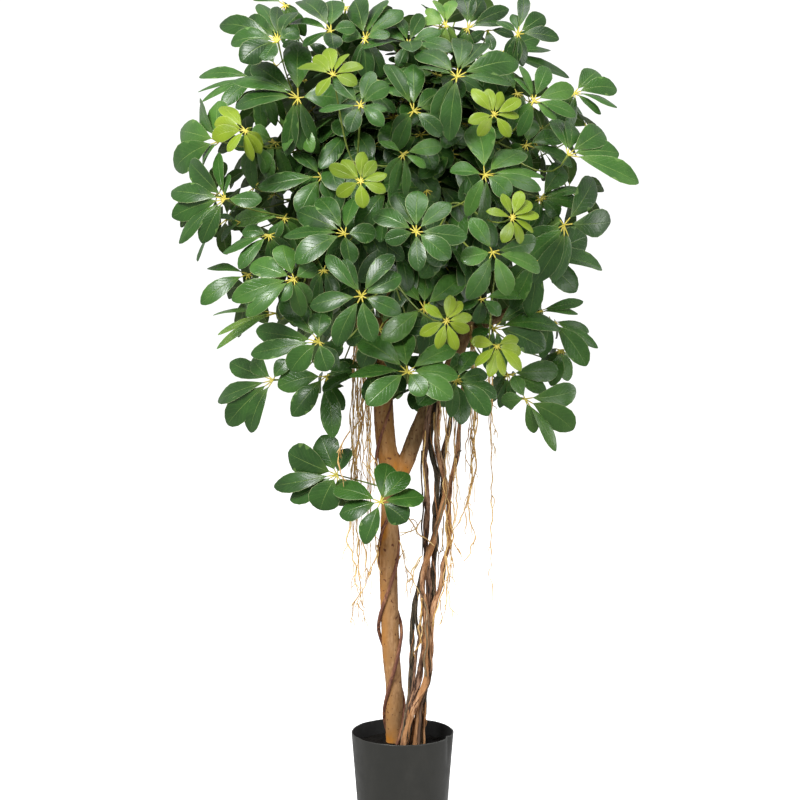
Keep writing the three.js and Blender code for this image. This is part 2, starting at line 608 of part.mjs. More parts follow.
/** A leaf of the front view. One seen flattened leans back, and one seen narrowed turns to its side. */
function frontLeaf({ hub: [column, row], tips, forward, tall, whole }, seed, offset) {
  const columns = [column, ...tips.map((tip) => tip[0])];
  const rows = [row, ...tips.map((tip) => tip[1])];
  const across = Math.max(...columns) - Math.min(...columns);
  const down = Math.max(...rows) - Math.min(...rows);
  const shape = tall ?? (tips.length < 5 ? 0.85 : clamp(down / across, 0.55, 1.6));
  const side = clamp((column - AXIS_COLUMN) / CROWN_COLUMNS, -1, 1);
  const turn = 0.45 * side + (shape > 1 ? 0.6 * Math.sign(side) * Math.acos(1 / shape) : 0);
  const azimuth = turn + lerp(-0.12, 0.12, chance(seed));
  const lean = 0.14 + (shape < 1 ? 0.7 * Math.acos(shape) : 0) + lerp(-0.1, 0.1, chance(seed + 0.5));
  const level = Math.cos(lean);
  const normal = vec(Math.sin(azimuth) * level, -Math.cos(azimuth) * level, Math.sin(lean));
  const share = 1 - (((column - AXIS_COLUMN) * STEP) / CROWN_SIDE) ** 2 - (((CROWN_ROW - row) * STEP) / CROWN_RISE) ** 2;
  const depth = forward ?? CROWN_DEPTH * Math.sqrt(Math.max(share, 0.004));
  const place = seen(column, row, depth + offset);
  const known = tips.map(([c, r]) => {
    const flat = seenOnPlane(c, r, place, normal);
    const drop = DROOP * flat.distanceTo(place);
    return seenOnPlane(c, r, place.clone().addScaledVector(normal, -drop), normal);
  });
  return leafFrom(place, normal, known, whole ? 7 : tips.length < 5 ? 1.2 : 1.9, seed);
}

/** A leaf of the back, the sides or the top, which looks outwards and up. */
function hiddenLeaf(direction, seed, offset) {
  const hub = onCrown(direction, 1 + offset / CROWN_SIDE);
  const outward = direction.clone().divide(vec(CROWN_SIDE, CROWN_DEPTH, CROWN_RISE)).normalize();
  const lean = vec(lerp(-0.25, 0.25, chance(seed)), lerp(-0.25, 0.25, chance(seed + 0.2)), lerp(0.35, 0.8, chance(seed + 0.4)));
  outward.z = Math.max(outward.z, -0.25);
  const normal = outward.add(lean).normalize();
  const first = leafTurn(normal, vec(direction.x, direction.y, 0.1));
  const leaf = { hub, normal };
  const known = range(HIDDEN_LEAFLETS).map((i) => {
    const turn = (2 * Math.PI * (i + lerp(-0.15, 0.15, chance(seed + 0.11 * i)))) / HIDDEN_LEAFLETS;
    return tipAt(leaf, first + turn, LEAFLET_LENGTH * (0.86 + 0.14 * Math.cos(turn)));
  });
  return leafFrom(hub, normal, known, 1.9, seed);
}

/** How far a leaf lies clear behind another. It is endless where neither covers the other. */
function roomBetween(a, b) {
  const apart = b.middle.clone().sub(a.middle);
  const facing = a.normal.clone().add(b.normal).normalize();
  const level = b.front ? apart.dot(facing) : Math.abs(apart.dot(facing));
  const sideways = Math.sqrt(Math.max(apart.lengthSq() - level * level, 0));
  const overlap = 1 - sideways / (a.reach + b.reach);
  if (overlap <= 0.1) return Infinity;
  const between = Math.sqrt(Math.max(1 - a.normal.dot(b.normal) ** 2, 0));
  return level - 7 - 0.5 * overlap * (a.reach + b.reach) * between;
}

/** The first of the places tried for a leaf that leaves room for those already set out, or the best. */
function settle(make, leaves) {
  let best = null;
  let most = -Infinity;
  for (const offset of OFFSETS) {
    const leaf = make(offset);
    const room = Math.min(...leaves.map((other) => roomBetween(leaf, other)), 1000);
    if (room > most) [best, most] = [leaf, room];
    if (room >= 0) break;
  }
  return best;
}

/** All the leaves, with those that show whole set out first, so that the others lie behind them. */
function settledLeaves() {
  const rows = [
    ...LOW_LEAVES.map((row) => ({ ...row, kind: "low" })),
    ...YOUNG_LEAVES.map((row, i) => ({ ...row, kind: "young", number: i + 1 })),
    ...FRONT_LEAVES.map((row) => ({ ...row, kind: "crown" })),
  ].map((row, i) => ({ ...row, seed: i + 1 }));
  const rank = ({ kind, tips }) => tips.length + (kind === "young" ? 1.5 : 0);
  rows.sort((a, b) => rank(b) - rank(a) || a.seed - b.seed);
  const leaves = [];
  for (const row of rows) {
    const leaf = settle((offset) => frontLeaf(row, row.seed, offset), leaves);
    leaves.push({ ...leaf, front: true, kind: row.kind, seed: row.seed, number: row.number });
  }
  for (const i of range(HIDDEN_LEAVES)) {
    const direction = spreadDirection(i, HIDDEN_LEAVES);
    const hub = onCrown(direction);
    const inView = hub.z < CROWN_MIDDLE + 335;
    if (hub.z < LOWEST_HIDDEN || (inView && hub.y < 25)) continue;
    const inward = inView ? DRAWN_IN : 0;
    const leaf = settle((offset) => hiddenLeaf(direction, 200 + i, offset - inward), leaves);
    leaves.push({ ...leaf, kind: "crown", seed: 200 + i });
  }
  return leaves;
}

// ---- A leaf as a solid: thin leaflets round a hub, and a long stalk below it ----
const SHOULDER = 0.67; // where a leaflet is widest, as a share of its length
const LEAFLET_HALF_WIDTH = 0.21; // as a share of its length
const HUB_ABOVE = 2.2;
const HUB_BELOW = 1.2;
const STALK_RADII = [1.5, 1.9]; // at the hub and at the foot
const STALK_RINGS = 3;

/** The outline of a leaf's blades: for each leaflet the valley before it, a shoulder, the tip and a shoulder. */
function leafOutline({ hub, normal, tips }) {
  const arms = tips.map((tip) => tip.clone().sub(hub));
  const turns = arms.map((arm) => leafTurn(normal, arm));
  return arms.flatMap((arm, i) => {
    const before = (turns[i] - turns[(i + tips.length - 1) % tips.length] + 4 * Math.PI) % (2 * Math.PI);
    const after = (turns[(i + 1) % tips.length] - turns[i] + 4 * Math.PI) % (2 * Math.PI);
    const length = arm.length();
    const across = normal.clone().cross(arm).normalize();
    const shoulder = (gap) => Math.min(LEAFLET_HALF_WIDTH, SHOULDER * Math.tan(Math.min(0.42 * gap, 1))) * length;
    const waist = hub.clone().addScaledVector(arm, SHOULDER).addScaledVector(normal, 0.02 * length);
    const valley = leafDirection(normal, turns[i] - before / 2).multiplyScalar(before > 2 ? 5 : VALLEY);
    return [
      hub.clone().add(valley),
      waist.clone().addScaledVector(across, -shoulder(before)),
      hub.clone().add(arm),
      waist.clone().addScaledVector(across, shoulder(after)),
    ];
  });
}

/** The places down the middle of a leaf's stalk, from the hub to its foot, bent aside by a bow. */
function stalkLine({ hub, normal }, foot, rise, bow) {
  const length = hub.distanceTo(foot);
  const top = hub.clone().addScaledVector(normal, -HUB_BELOW);
  const curve = new THREE.CubicBezierCurve3(
    top,
    top.clone().addScaledVector(normal, -0.35 * length).add(bow),
    foot.clone().addScaledVector(rise, 0.25 * length).add(bow),
    foot,
  );
  return curve;
}

/** The corners of a three-sided stalk, ring by ring from the hub down. */
function stalkCorners(leaf, curve) {
  return range(STALK_RINGS + 1).flatMap((ring) => {
    const share = ring / STALK_RINGS;
    const down = ring === 0 ? leaf.normal.clone().negate() : curve.getTangent(share);
    const first = leafDirection(leaf.normal, 0);
    first.addScaledVector(down, -first.dot(down)).normalize();
    const second = down.clone().cross(first).negate();
    const middle = curve.getPoint(share);
    return range(3).map((i) => {
      const turn = (2 * Math.PI * (i + 0.5)) / 3;
      const corner = middle.clone().addScaledVector(first, along(STALK_RADII, share) * Math.cos(turn));
      return corner.addScaledVector(second, along(STALK_RADII, share) * Math.sin(turn));
    });
  });
}

/** The blades of a leaf closed below by one point, for measuring the room round them. */
function bladesAlone(leaf) {
  const outline = leafOutline(leaf);
  const count = outline.length;
  const top = leaf.hub.clone().addScaledVector(leaf.normal, HUB_ABOVE);
  const bottom = leaf.hub.clone().addScaledVector(leaf.normal, -HUB_BELOW);
  const faces = range(count).flatMap((i) => {
    const next = (i + 1) % count;
    return [
      [count, i, next],
      [count + 1, next, i],
    ];
  });
  return solidOf(geometryOf([...outline, top, bottom], faces));
}

/** The stalk of a leaf alone, for measuring the room round it. */
function stalkAlone(leaf, curve) {
  const corners = stalkCorners(leaf, curve);
  const last = 3 * STALK_RINGS;
  const faces = range(STALK_RINGS).flatMap((ring) => band(3 * ring + 3, 3 * ring, 3));
  return solidOf(geometryOf(corners, [...faces, [0, 1, 2], [last, last + 2, last + 1]]));
}

/** A whole leaf: the upper faces meet in a raised middle, and the lower ones in the top of the stalk. */
function wholeLeaf(leaf, curve) {
  const outline = leafOutline(leaf);
  const count = outline.length;
  const corners = stalkCorners(leaf, curve);
  const top = leaf.hub.clone().addScaledVector(leaf.normal, HUB_ABOVE);
  const full = 2 * Math.PI;
  const sector = (point) => {
    const turn = (leafTurn(leaf.normal, point.clone().sub(leaf.hub)) + full) % full;
    return Math.floor((3 * turn) / full) % 3;
  };
  const stalk = count + 1;
  const faces = range(count).flatMap((i) => {
    const next = (i + 1) % count;
    const [here, there] = [sector(outline[i]), sector(outline[next])];
    const below = [[next, i, stalk + here]];
    for (let step = here; step !== there; step = (step + 1) % 3) {
      below.push([next, stalk + step, stalk + ((step + 1) % 3)]);
    }
    return [[count, i, next], ...below];
  });
  const last = stalk + 3 * STALK_RINGS;
  const sides = range(STALK_RINGS).flatMap((ring) => band(stalk + 3 * ring + 3, stalk + 3 * ring, 3));
  return solidOf(geometryOf([...outline, top, ...corners], [...faces, ...sides, [last, last + 2, last + 1]]));
}

// ---- Hanging the leaves on the stems ----
const SIZES = [1, 0.86, 0.72, 0.58];
const BENDS = [0, 12, -10]; // of the tips, along the normal
const LIFTS = [0, 6, -6, 12, -12, 20, -20, 30, -30]; // of the whole blade, along the normal
const BOWS = [0, 16, 32, 50]; // of the stalk, to its side

/** A leaf that is lifted, bent and made smaller by the amounts given. */
function adjusted({ hub, normal, tips, ...rest }, size, bend, lift) {
  const raised = hub.clone().addScaledVector(normal, lift);
  const moved = tips.map((tip) => {
    return tip.clone().sub(hub).multiplyScalar(size).addScaledVector(normal, bend * size).add(raised);
  });
  return { ...rest, hub: raised, normal, tips: moved };
}

/** The leaf with its blades bent clear of what stands, or null where nothing tried is clear. */
function clearBlades(leaf, passOver) {
  for (const size of SIZES) {
    for (const bend of BENDS) {
      for (const lift of LIFTS) {
        const variant = adjusted(leaf, size, bend, lift);
        if (isClear(bladesAlone(variant), passOver)) return variant;
      }
    }
  }
  return null;
}

/** The line of a stalk that is clear of what stands, or null. */
function clearStalk(leaf, foot, rise, passOver) {
  for (const bow of BOWS) {
    for (const i of range(bow === 0 ? 1 : 8)) {
      const turn = (Math.PI * i) / 4;
      const aside = leafDirection(leaf.normal, turn).multiplyScalar(bow);
      const curve = stalkLine(leaf, foot, rise, aside);
      if (isClear(stalkAlone(leaf, curve), passOver)) return curve;
    }
  }
  return null;
}

const stemCurves = STEMS.map(({ path }) => new THREE.CatmullRomCurve3(path, false, "centripetal"));

/** The leafy stem that carries a leaf: the one whose tip is nearest, or the low one. */
function carrierOf(leaf) {
  if (leaf.kind === "low") return STEM_COUNT;
  const reach = range(STEM_COUNT).map((i) => stemCurves[i].getPoint(0.9).distanceTo(leaf.hub));
  return reach.indexOf(Math.min(...reach));
}

/** A leaf hung on its stem at a share of the stem's length, as a solid, or null where it finds no room. */
function hungLeaf(leaf, carrier, shares) {
  const node = leaf.kind === "young" ? `young_leaf_${leaf.number}` : `leafy_stem_${carrier + 1}`;
  const sameNode = (other) => other.node === node;
  const ownStem = (other) => other.part === "stem" && other.node === `leafy_stem_${carrier + 1}`;
  const placed = clearBlades(leaf, sameNode);
  if (!placed) return null;
  for (const share of shares) {
    const foot = stemCurves[carrier].getPoint(share);
    const rise = stemCurves[carrier].getTangent(share);
    const curve = clearStalk(placed, foot, rise, (other) => sameNode(other) || ownStem(other));
    if (curve) return { solid: wholeLeaf(placed, curve), node, leaf: placed };
  }
  return null;
}

const stemSolids = standing.filter(({ part }) => part === "stem").map(({ solid }) => solid);
const youngLeaves = [];
const lost = [];
const counts = range(STEM_COUNT + 1).map(() => 0);
for (const leaf of settledLeaves()) {
  const carrier = carrierOf(leaf);
  const spot = 0.95 - 0.13 * (counts[carrier] % 5);
  const hung = hungLeaf(leaf, carrier, [spot, spot - 0.08, 0.9, 0.75, 0.6, 0.45]);
  if (!hung) {
    lost.push(leaf.seed);
    continue;
  }
  counts[carrier] += 1;
  if (leaf.kind === "young") {
    const room = tube(STEMS[carrier], CLEAR);
    const solid = largestBody(hung.solid.subtract(room));
    youngLeaves.push({ node: hung.node, solid: stand(solid, hung.node) });
  } else {
    stand(hung.solid, hung.node, "leaf");
    stemSolids[carrier] = stemSolids[carrier].add(hung.solid);
  }
}

// ---- The pot and its soil ----
const ROUND = 32;

/** A closed solid of revolution from a profile of [radius, height] points, anticlockwise. */
function turned(profile, segments) {
  const points = [...profile, profile[0]].map(([r, z]) => new THREE.Vector2(r, z));
  const geometry = new THREE.LatheGeometry(points, segments);
  geometry.rotateX(Math.PI / 2);
  return solidOf(geometry);
}

/** The pot's outer radius at a height. */
function potRadius(height) {
  return lerp(POT_BASE_RADIUS, POT_RIM_RADIUS, height / POT_HEIGHT);
}

const pot = turned(
  [
    [0, 0],
    [potRadius(0) - 2, 0],
    [potRadius(0), 2],
    [potRadius(POT_HEIGHT - 1), POT_HEIGHT - 1],
    [POT_RIM_RADIUS - 0.8, POT_HEIGHT],
    [POT_RIM_RADIUS - 1.7, POT_HEIGHT],
    [POT_RIM_RADIUS - POT_WALL, POT_HEIGHT - 0.8],
    [potRadius(POT_FLOOR) - POT_WALL, POT_FLOOR],
    [0, POT_FLOOR],
  ],
  ROUND,
);

const SOIL_TOP = POT_HEIGHT - SOIL_DROP;
const soilEdge = (height) => potRadius(height) - POT_WALL - 1.3;
const soilBody = turned(
  [
    [0, POT_FLOOR + CLEAR],
    [soilEdge(POT_FLOOR), POT_FLOOR + CLEAR],
    [soilEdge(SOIL_TOP), SOIL_TOP - 3],
    [soilEdge(SOIL_TOP) - 8, SOIL_TOP + 1],
    [40, SOIL_TOP + 3],
    [0, SOIL_TOP + 1],
  ],
  24,
);
const soil = [LEFT_LEADER, ...VINES, ...LIANAS].reduce((body, strand) => body.subtract(tube(strand, CLEAR)), soilBody);

// ---- The scene graph ----
const SMOOTHED = [0.2, 0.15, 0.25, 0.1, 0.3, 0.05, 0.02]; // the most that a face moves when slivers are merged away

/** Whether a solid's faces still close, two to an edge, when its corners are rounded to a micrometre. */
function staysClosed(solid) {
  const { vertProperties, numProp, triVerts } = solid.getMesh();
  const place = (i) => range(3).map((j) => vertProperties[i * numProp + j].toFixed(3)).join(" ");
  const edges = new Map();
  for (const face of range(triVerts.length / 3)) {
    const corners = range(3).map((j) => place(triVerts[3 * face + j]));
    if (new Set(corners).size < 3) continue;
    for (const j of range(3)) {
      const edge = [corners[j], corners[(j + 1) % 3]].sort().join(" to ");
      edges.set(edge, (edges.get(edge) ?? 0) + 1);
    }
  }
  return [...edges.values()].every((faces) => faces === 2);
}

/** A joined solid without its slivers, as one body that stays closed. */
function tidied(solid) {
  const tries = SMOOTHED.map((amount) => largestBody(solid.simplify(amount)));
  return tries.find(staysClosed) ?? tries[0];
}

/** A solid as a named mesh with its own material. */
function meshOf(name, solid, color, roughness, metalness = 0) {
  const { vertProperties, triVerts, numProp } = solid.getMesh();
  const geometry = new THREE.BufferGeometry();
  const places = new Float32Array((vertProperties.length / numProp) * 3);
  for (const i of range(places.length)) {
    places[i] = vertProperties[Math.floor(i / 3) * numProp + (i % 3)];
  }
  geometry.setAttribute("position", new THREE.BufferAttribute(places, 3));
  geometry.setIndex(new THREE.BufferAttribute(new Uint32Array(triVerts), 1));
  geometry.computeVertexNormals();
  const mesh = new THREE.Mesh(geometry, new THREE.MeshStandardMaterial({ color, roughness, metalness }));
  mesh.name = name;
  return mesh;
}

const plant = new THREE.Group();
plant.name = "potted_umbrella_plant";
plant.add(
  meshOf("pot", pot, 0x40403e, 0.55),
  meshOf("soil", tidied(soil), 0x1f1a15, 0.95),
  meshOf("trunk", tidied(trunk), 0xa97d4a, 0.8),
  ...vines.map((solid, i) => meshOf(`twining_vine_${i + 1}`, tidied(solid), 0x8a5236, 0.7)),
  ...lianas.map((solid, i) => meshOf(`liana_${i + 1}`, solid, LIANA_TABLE[i].color, 0.85)),
  ...roots.map((solid, i) => meshOf(`aerial_root_${i + 1}`, tidied(solid), 0xc2944f, 0.8)),
  ...stemSolids.map((solid, i) => meshOf(`leafy_stem_${i + 1}`, tidied(solid), 0x38602f, 0.4)),
  ...youngLeaves.map(({ node, solid }) => meshOf(node, tidied(solid), 0x9cb52b, 0.4)),
);

export default plant;
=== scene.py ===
import json
import logging
import math
from collections.abc import Callable
from dataclasses import dataclass, field, fields, replace
from enum import Enum, auto
from functools import cache

import bpy
import numpy as np
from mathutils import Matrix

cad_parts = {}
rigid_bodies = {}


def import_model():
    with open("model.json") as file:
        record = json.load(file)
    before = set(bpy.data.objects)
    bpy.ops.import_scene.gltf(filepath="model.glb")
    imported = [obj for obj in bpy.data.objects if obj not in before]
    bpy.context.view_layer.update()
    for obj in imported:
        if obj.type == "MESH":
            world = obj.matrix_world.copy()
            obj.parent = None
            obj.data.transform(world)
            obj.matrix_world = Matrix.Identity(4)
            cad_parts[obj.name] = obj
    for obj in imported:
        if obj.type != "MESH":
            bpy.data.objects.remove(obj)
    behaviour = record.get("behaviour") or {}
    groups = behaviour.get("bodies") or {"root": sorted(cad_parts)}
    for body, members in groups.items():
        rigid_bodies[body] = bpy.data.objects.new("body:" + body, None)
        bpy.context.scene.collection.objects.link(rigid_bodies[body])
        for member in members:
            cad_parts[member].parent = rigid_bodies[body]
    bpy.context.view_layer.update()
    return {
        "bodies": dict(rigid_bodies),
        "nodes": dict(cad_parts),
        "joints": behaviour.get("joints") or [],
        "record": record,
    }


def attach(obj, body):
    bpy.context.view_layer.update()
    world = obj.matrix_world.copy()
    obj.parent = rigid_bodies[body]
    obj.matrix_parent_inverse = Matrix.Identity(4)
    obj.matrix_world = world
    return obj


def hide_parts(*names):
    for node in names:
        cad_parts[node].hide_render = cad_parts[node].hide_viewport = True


# The looks of a potted umbrella plant: a small tree with a forked trunk, two twining vines, a bundle of
# lianas, hanging aerial roots and a crown of hand-shaped leaves, in a black pot.
# Lengths are millimetres, as in the part's solids, and become metres where a mesh is made.

Array = np.ndarray
Numbers = tuple[float, ...]
Colour = tuple[float, float, float, float]
Socket = bpy.types.NodeSocket
Material = bpy.types.Material
Piece = bpy.types.Object
MM = 0.001
LOG = logging.getLogger("umbrella_plant")
GOLDEN_TURN = math.pi * (3 - math.sqrt(5))
UP = np.array([0.0, 0.0, 1.0])


# ---- Small helpers ----


def vec(x: float, y: float, z: float) -> Array:
    """A point or direction as an array."""
    return np.array([x, y, z], dtype=float)


def unit(v: Array) -> Array:
    """Vectors scaled to length one, along the last axis."""
    return v / np.maximum(np.linalg.norm(v, axis=-1, keepdims=True), 1e-12)


def dot(a: Array, b: Array) -> Array:
    """Dot products along the last axis, which is kept."""
    return np.sum(a * b, axis=-1, keepdims=True)


def lerp(a: Array | float, b: Array | float, share: Array | float) -> Array | float:
    """A value between a and b."""
    return a + (b - a) * share


def chance(seed: float) -> float:
    """A repeatable random share from 0 to 1 for a number, the same as in the part's source."""
    wave = math.sin(seed * 12.9898) * 43758.5453
    return wave - math.floor(wave)


def chances(seeds: Array) -> Array:
    """Repeatable random shares from 0 to 1 for an array of numbers."""
    wave = np.sin(np.asarray(seeds, dtype=float) * 12.9898) * 43758.5453
    return wave - np.floor(wave)


def srgb(red: int, green: int, blue: int) -> Colour:
    """A display colour as a linear one: c / 12.92 near black, else ((c + 0.055) / 1.055)^2.4.

    Args:
        red: its red, from 0 to 255.
        green: its green.
        blue: its blue.

    Returns:
        The colour.
    """
    c = np.array([red, green, blue]) / 255
    linear = np.where(c <= 0.04045, c / 12.92, ((c + 0.055) / 1.055) ** 2.4)
    return (float(linear[0]), float(linear[1]), float(linear[2]), 1.0)


def lattice_noise(points: Array, size: float, seed: float = 0.0) -> Array:
    """Smooth noise from -1 to 1.

    Each corner of a cubic lattice has a random value, and a point takes the mix of its cell's eight
    corners, weighted by the smooth step 3s^2 - 2s^3 of its place in the cell.

    Args:
        points: places, the last axis being x, y, z.
        size: the lattice's cell.
        seed: shifts the lattice.

    Returns:
        One value for each point.
    """
    place = points / size + 19.7 * seed + 7.31
    cell = np.floor(place)
    share = place - cell
    share = share * share * (3 - 2 * share)
    total = np.zeros(points.shape[:-1])
    for corner in range(8):
        step = np.array([corner & 1, corner >> 1 & 1, corner >> 2 & 1])
        key = (cell + step) @ np.array([127.1, 311.7, 74.7])
        value = np.sin(key) * 43758.5453
        weight = np.prod(np.where(step, share, 1 - share), axis=-1)
        total += weight * (2 * (value - np.floor(value)) - 1)
    return total


# ---- The front view that the plant is set out in ----


@dataclass(frozen=True)
class FrontView:
    """The 800 by 800 view of the plant from the front, as a place for each column, row and distance."""

    eye_distance: float = 2700
    eye_height: float = 899
    aim_height: float = 738
    step: float = 1.72  # millimetres to a column or row, at the pot's axis
    middle: float = 400
    axis_column: float = 402.5

    @property
    def eye(self) -> Array:
        """Where the view is taken from."""
        return vec((self.middle - self.axis_column) * self.step, -self.eye_distance, self.eye_height)

    @property
    def aim(self) -> Array:
        """From the eye to the point in the middle of the view."""
        return vec(self.eye[0], 0, self.aim_height) - self.eye

    @property
    def focal(self) -> float:
        """The focal length, in columns."""
        return float(np.linalg.norm(self.aim)) / self.step

    def sight(self, column: float, row: float) -> Array:
        """The line of sight through a column and row.

        Args:
            column: of the view.
            row: of the view.

        Returns:
            Its direction.
        """
        aim = unit(self.aim)
        upright = vec(0, -aim[2], aim[1])
        aside = vec((column - self.middle) / self.focal, 0, 0)
        return aim + aside + upright * (self.middle - row) / self.focal

    def seen(self, column: float, row: float, forward: float) -> Array:
        """The point that shows at a column and row, a distance in front of the pot's axis."""
        line = self.sight(column, row)
        return self.eye + line * (self.eye_distance - forward) / line[1]

    def seen_on_plane(self, column: float, row: float, point: Array, normal: Array) -> Array:
        """The point of a plane that shows at a column and row."""
        line = self.sight(column, row)
        return self.eye + line * float((point - self.eye) @ normal) / float(line @ normal)

    def seen_all(self, places: Numbers) -> Array:
        """The points that show at columns and rows, each with its distance in front, by turns."""
        return np.array([self.seen(*place) for place in np.reshape(places, (-1, 3))])


VIEW = FrontView()


# ---- Curves and shapes ----


def linked(name: str, data: bpy.types.ID) -> Piece:
    """Puts a mesh, light or camera into the scene.

    Args:
        name: the object's name.
        data: what it shows.

    Returns:
        The object.
    """
    made = bpy.data.objects.new(name, data)
    bpy.context.scene.collection.objects.link(made)
    return made


def corners_of(mesh: bpy.types.Mesh) -> Array:
    """A mesh's corners, in millimetres.

    Args:
        mesh: the mesh, in metres.

    Returns:
        The corners, as corner, xyz.
    """
    places = np.empty(3 * len(mesh.vertices))
    mesh.vertices.foreach_get("co", places)
    return places.reshape(-1, 3) / MM


class Spline:
    """A centripetal Catmull-Rom curve through points, the one that the part's solids follow."""

    def __init__(self, points: Array) -> None:
        """Keeps the points and one more beyond each end.

        Args:
            points: as point, xyz.
        """
        inner = np.asarray(points, dtype=float)
        first, last = 2 * inner[0] - inner[1], 2 * inner[-1] - inner[-2]
        self.points = np.vstack([first, inner, last])
        self.spans = len(inner) - 1

    def at(self, places: Array | float) -> Array:
        """The points at places from 0 to 1, where each span between two points takes an equal share.

        Each span is a cubic through its two points, with end slopes from its neighbours, where the
        parameter runs as the square root of the distance between points.

        Args:
            places: one or more.

        Returns:
            The points, as place, xyz.
        """
        place = np.clip(np.atleast_1d(places), 0, 1) * self.spans
        span = np.minimum(place.astype(int), self.spans - 1)
        share = (place - span)[:, None]
        p0, p1, p2, p3 = (self.points[span + i] for i in range(4))
        d0, d1, d2 = (
            np.maximum(np.sqrt(np.linalg.norm(b - a, axis=1, keepdims=True)), 1e-4)
            for a, b in ((p0, p1), (p1, p2), (p2, p3))
        )
        slope1 = d1 * ((p1 - p0) / d0 - (p2 - p0) / (d0 + d1) + (p2 - p1) / d1)
        slope2 = d1 * ((p2 - p1) / d1 - (p3 - p1) / (d1 + d2) + (p3 - p2) / d2)
        square = -3 * p1 + 3 * p2 - 2 * slope1 - slope2
        cube = 2 * p1 - 2 * p2 + slope1 + slope2
        return p1 + slope1 * share + square * share**2 + cube * share**3

    def spaced(self, count: int) -> tuple[Array, Array]:
        """Points spaced evenly along the curve.

        Args:
            count: how many points.

        Returns:
            The points, and their places from 0 to 1.
        """
        fine = np.linspace(0, 1, 60 * self.spans + 1)
        trail = self.at(fine)
        run = np.concatenate([[0], np.cumsum(np.linalg.norm(np.diff(trail, axis=0), axis=1))])
        places = np.interp(np.linspace(0, run[-1], count), run, fine)
        return self.at(places), places

    def length(self) -> float:
        """The curve's length."""
        return float(np.linalg.norm(np.diff(self.at(np.linspace(0, 1, 200)), axis=0), axis=1).sum())


def values_at(values: Numbers, places: Array) -> Array:
    """The values of a list at places between 0 at its first item and 1 at its last."""
    return np.interp(places, np.linspace(0, 1, len(values)), values)


@dataclass
class Shape:
    """A mesh as arrays. Each point has a UV place, a tone, and whether it lies on a sharp rim."""

    points: Array
    quads: Array
    tris: Array
    uv: Array
    tone: Array
    rim: Array
    quad_slots: Array
    tri_slots: Array

    @staticmethod
    def copied(points: Array, quads: Array, tris: Array, uv: Array, tone: Array | float = 0.5,
               rim: Array | bool = False, slots: tuple[Array | int, Array | int] = (0, 0)) -> "Shape":
        """Copies of one form, which share their faces, UV places, rim and slots but not their points.

        Args:
            points: as copy, point, xyz.
            quads: the four-sided faces of one copy.
            tris: its three-sided faces.
            uv: its UV places.
            tone: the tone of all, or as copy, or as copy, point.
            rim: whether each of its points lies on a sharp rim.
            slots: the material slots of its four-sided and of its three-sided faces.

        Returns:
            The shape.
        """
        count, size = points.shape[:2]
        shift = np.arange(count)[:, None, None] * size
        tones = tone if np.ndim(tone) == 2 else np.reshape(tone, (-1, 1))
        return Shape(
            points.reshape(-1, 3),
            (quads + shift).reshape(-1, 4),
            (tris + shift).reshape(-1, 3),
            np.tile(uv, (count, 1)),
            np.broadcast_to(tones, (count, size)).ravel(),
            np.tile(np.broadcast_to(rim, size), count),
            np.tile(np.broadcast_to(slots[0], len(quads)), count),
            np.tile(np.broadcast_to(slots[1], len(tris)), count),
        )

    @staticmethod
    def joined(shapes: "list[Shape]") -> "Shape":
        """Several shapes as one.

        Args:
            shapes: the shapes, which keep their own corners.

        Returns:
            The shape.
        """
        starts = np.cumsum([0, *(len(s.points) for s in shapes[:-1])])
        moved = [replace(s, quads=s.quads + start, tris=s.tris + start) for s, start in zip(shapes, starts)]
        return Shape(*(np.concatenate([getattr(s, part.name) for s in moved]) for part in fields(Shape)))

    def slotted(self, slot: int) -> "Shape":
        """The shape with all its faces in one material slot.

        Args:
            slot: the slot.

        Returns:
            The same shape.
        """
        self.quad_slots = np.full(len(self.quads), slot)
        self.tri_slots = np.full(len(self.tris), slot)
        return self

    def displaced(self, amounts: Array) -> "Shape":
        """Moves each point along its normal, the sum of the cross products of the faces round it.

        Args:
            amounts: how far, for each point.

        Returns:
            The same shape.
        """
        p = self.points
        normals = np.zeros_like(p)
        for faces in (self.quads, self.tris):
            a, b, c = p[faces[:, 0]], p[faces[:, 1]], p[faces[:, 2]]
            cross = np.cross(b - a, c - a)
            for corner in faces.T:
                np.add.at(normals, corner, cross)
        self.points = p + unit(normals) * amounts[:, None]
        return self

    def made(self, name: str, materials: list[Material]) -> Piece:
        """The shape as a smooth-shaded object in metres, with its UV map and its tone attribute.

        Args:
            name: the piece's name.
            materials: one for each slot.

        Returns:
            The piece.
        """
        mesh = bpy.data.meshes.new(name)
        mesh.from_pydata((self.points * MM).tolist(), [], self.quads.tolist() + self.tris.tolist())
        corners = np.empty(len(mesh.loops), dtype=np.int32)
        mesh.loops.foreach_get("vertex_index", corners)
        layer = mesh.uv_layers.new(name="grain")
        layer.data.foreach_set("uv", self.uv[corners].astype(np.float32).ravel())
        tone = mesh.attributes.new("tone", "FLOAT", "POINT")
        tone.data.foreach_set("value", self.tone.astype(np.float32))
        if self.rim.any():
            ends = np.empty(2 * len(mesh.edges), dtype=np.int32)
            mesh.edges.foreach_get("vertices", ends)
            sharp = mesh.attributes.new("sharp_edge", "BOOLEAN", "EDGE")
            sharp.data.foreach_set("value", self.rim[ends.reshape(-1, 2)].all(axis=1))
        for material in materials:
            mesh.materials.append(material)
        slots = np.concatenate([self.quad_slots, self.tri_slots]).astype(np.int32)
        mesh.polygons.foreach_set("material_index", slots)
        mesh.polygons.foreach_set("use_smooth", np.ones(len(mesh.polygons), dtype=bool))
        mesh.update()
        return linked(name, mesh)


END_UV = np.array([[0.5, 0.0], [0.5, 1.0]])  # of the two points that close a form's ends


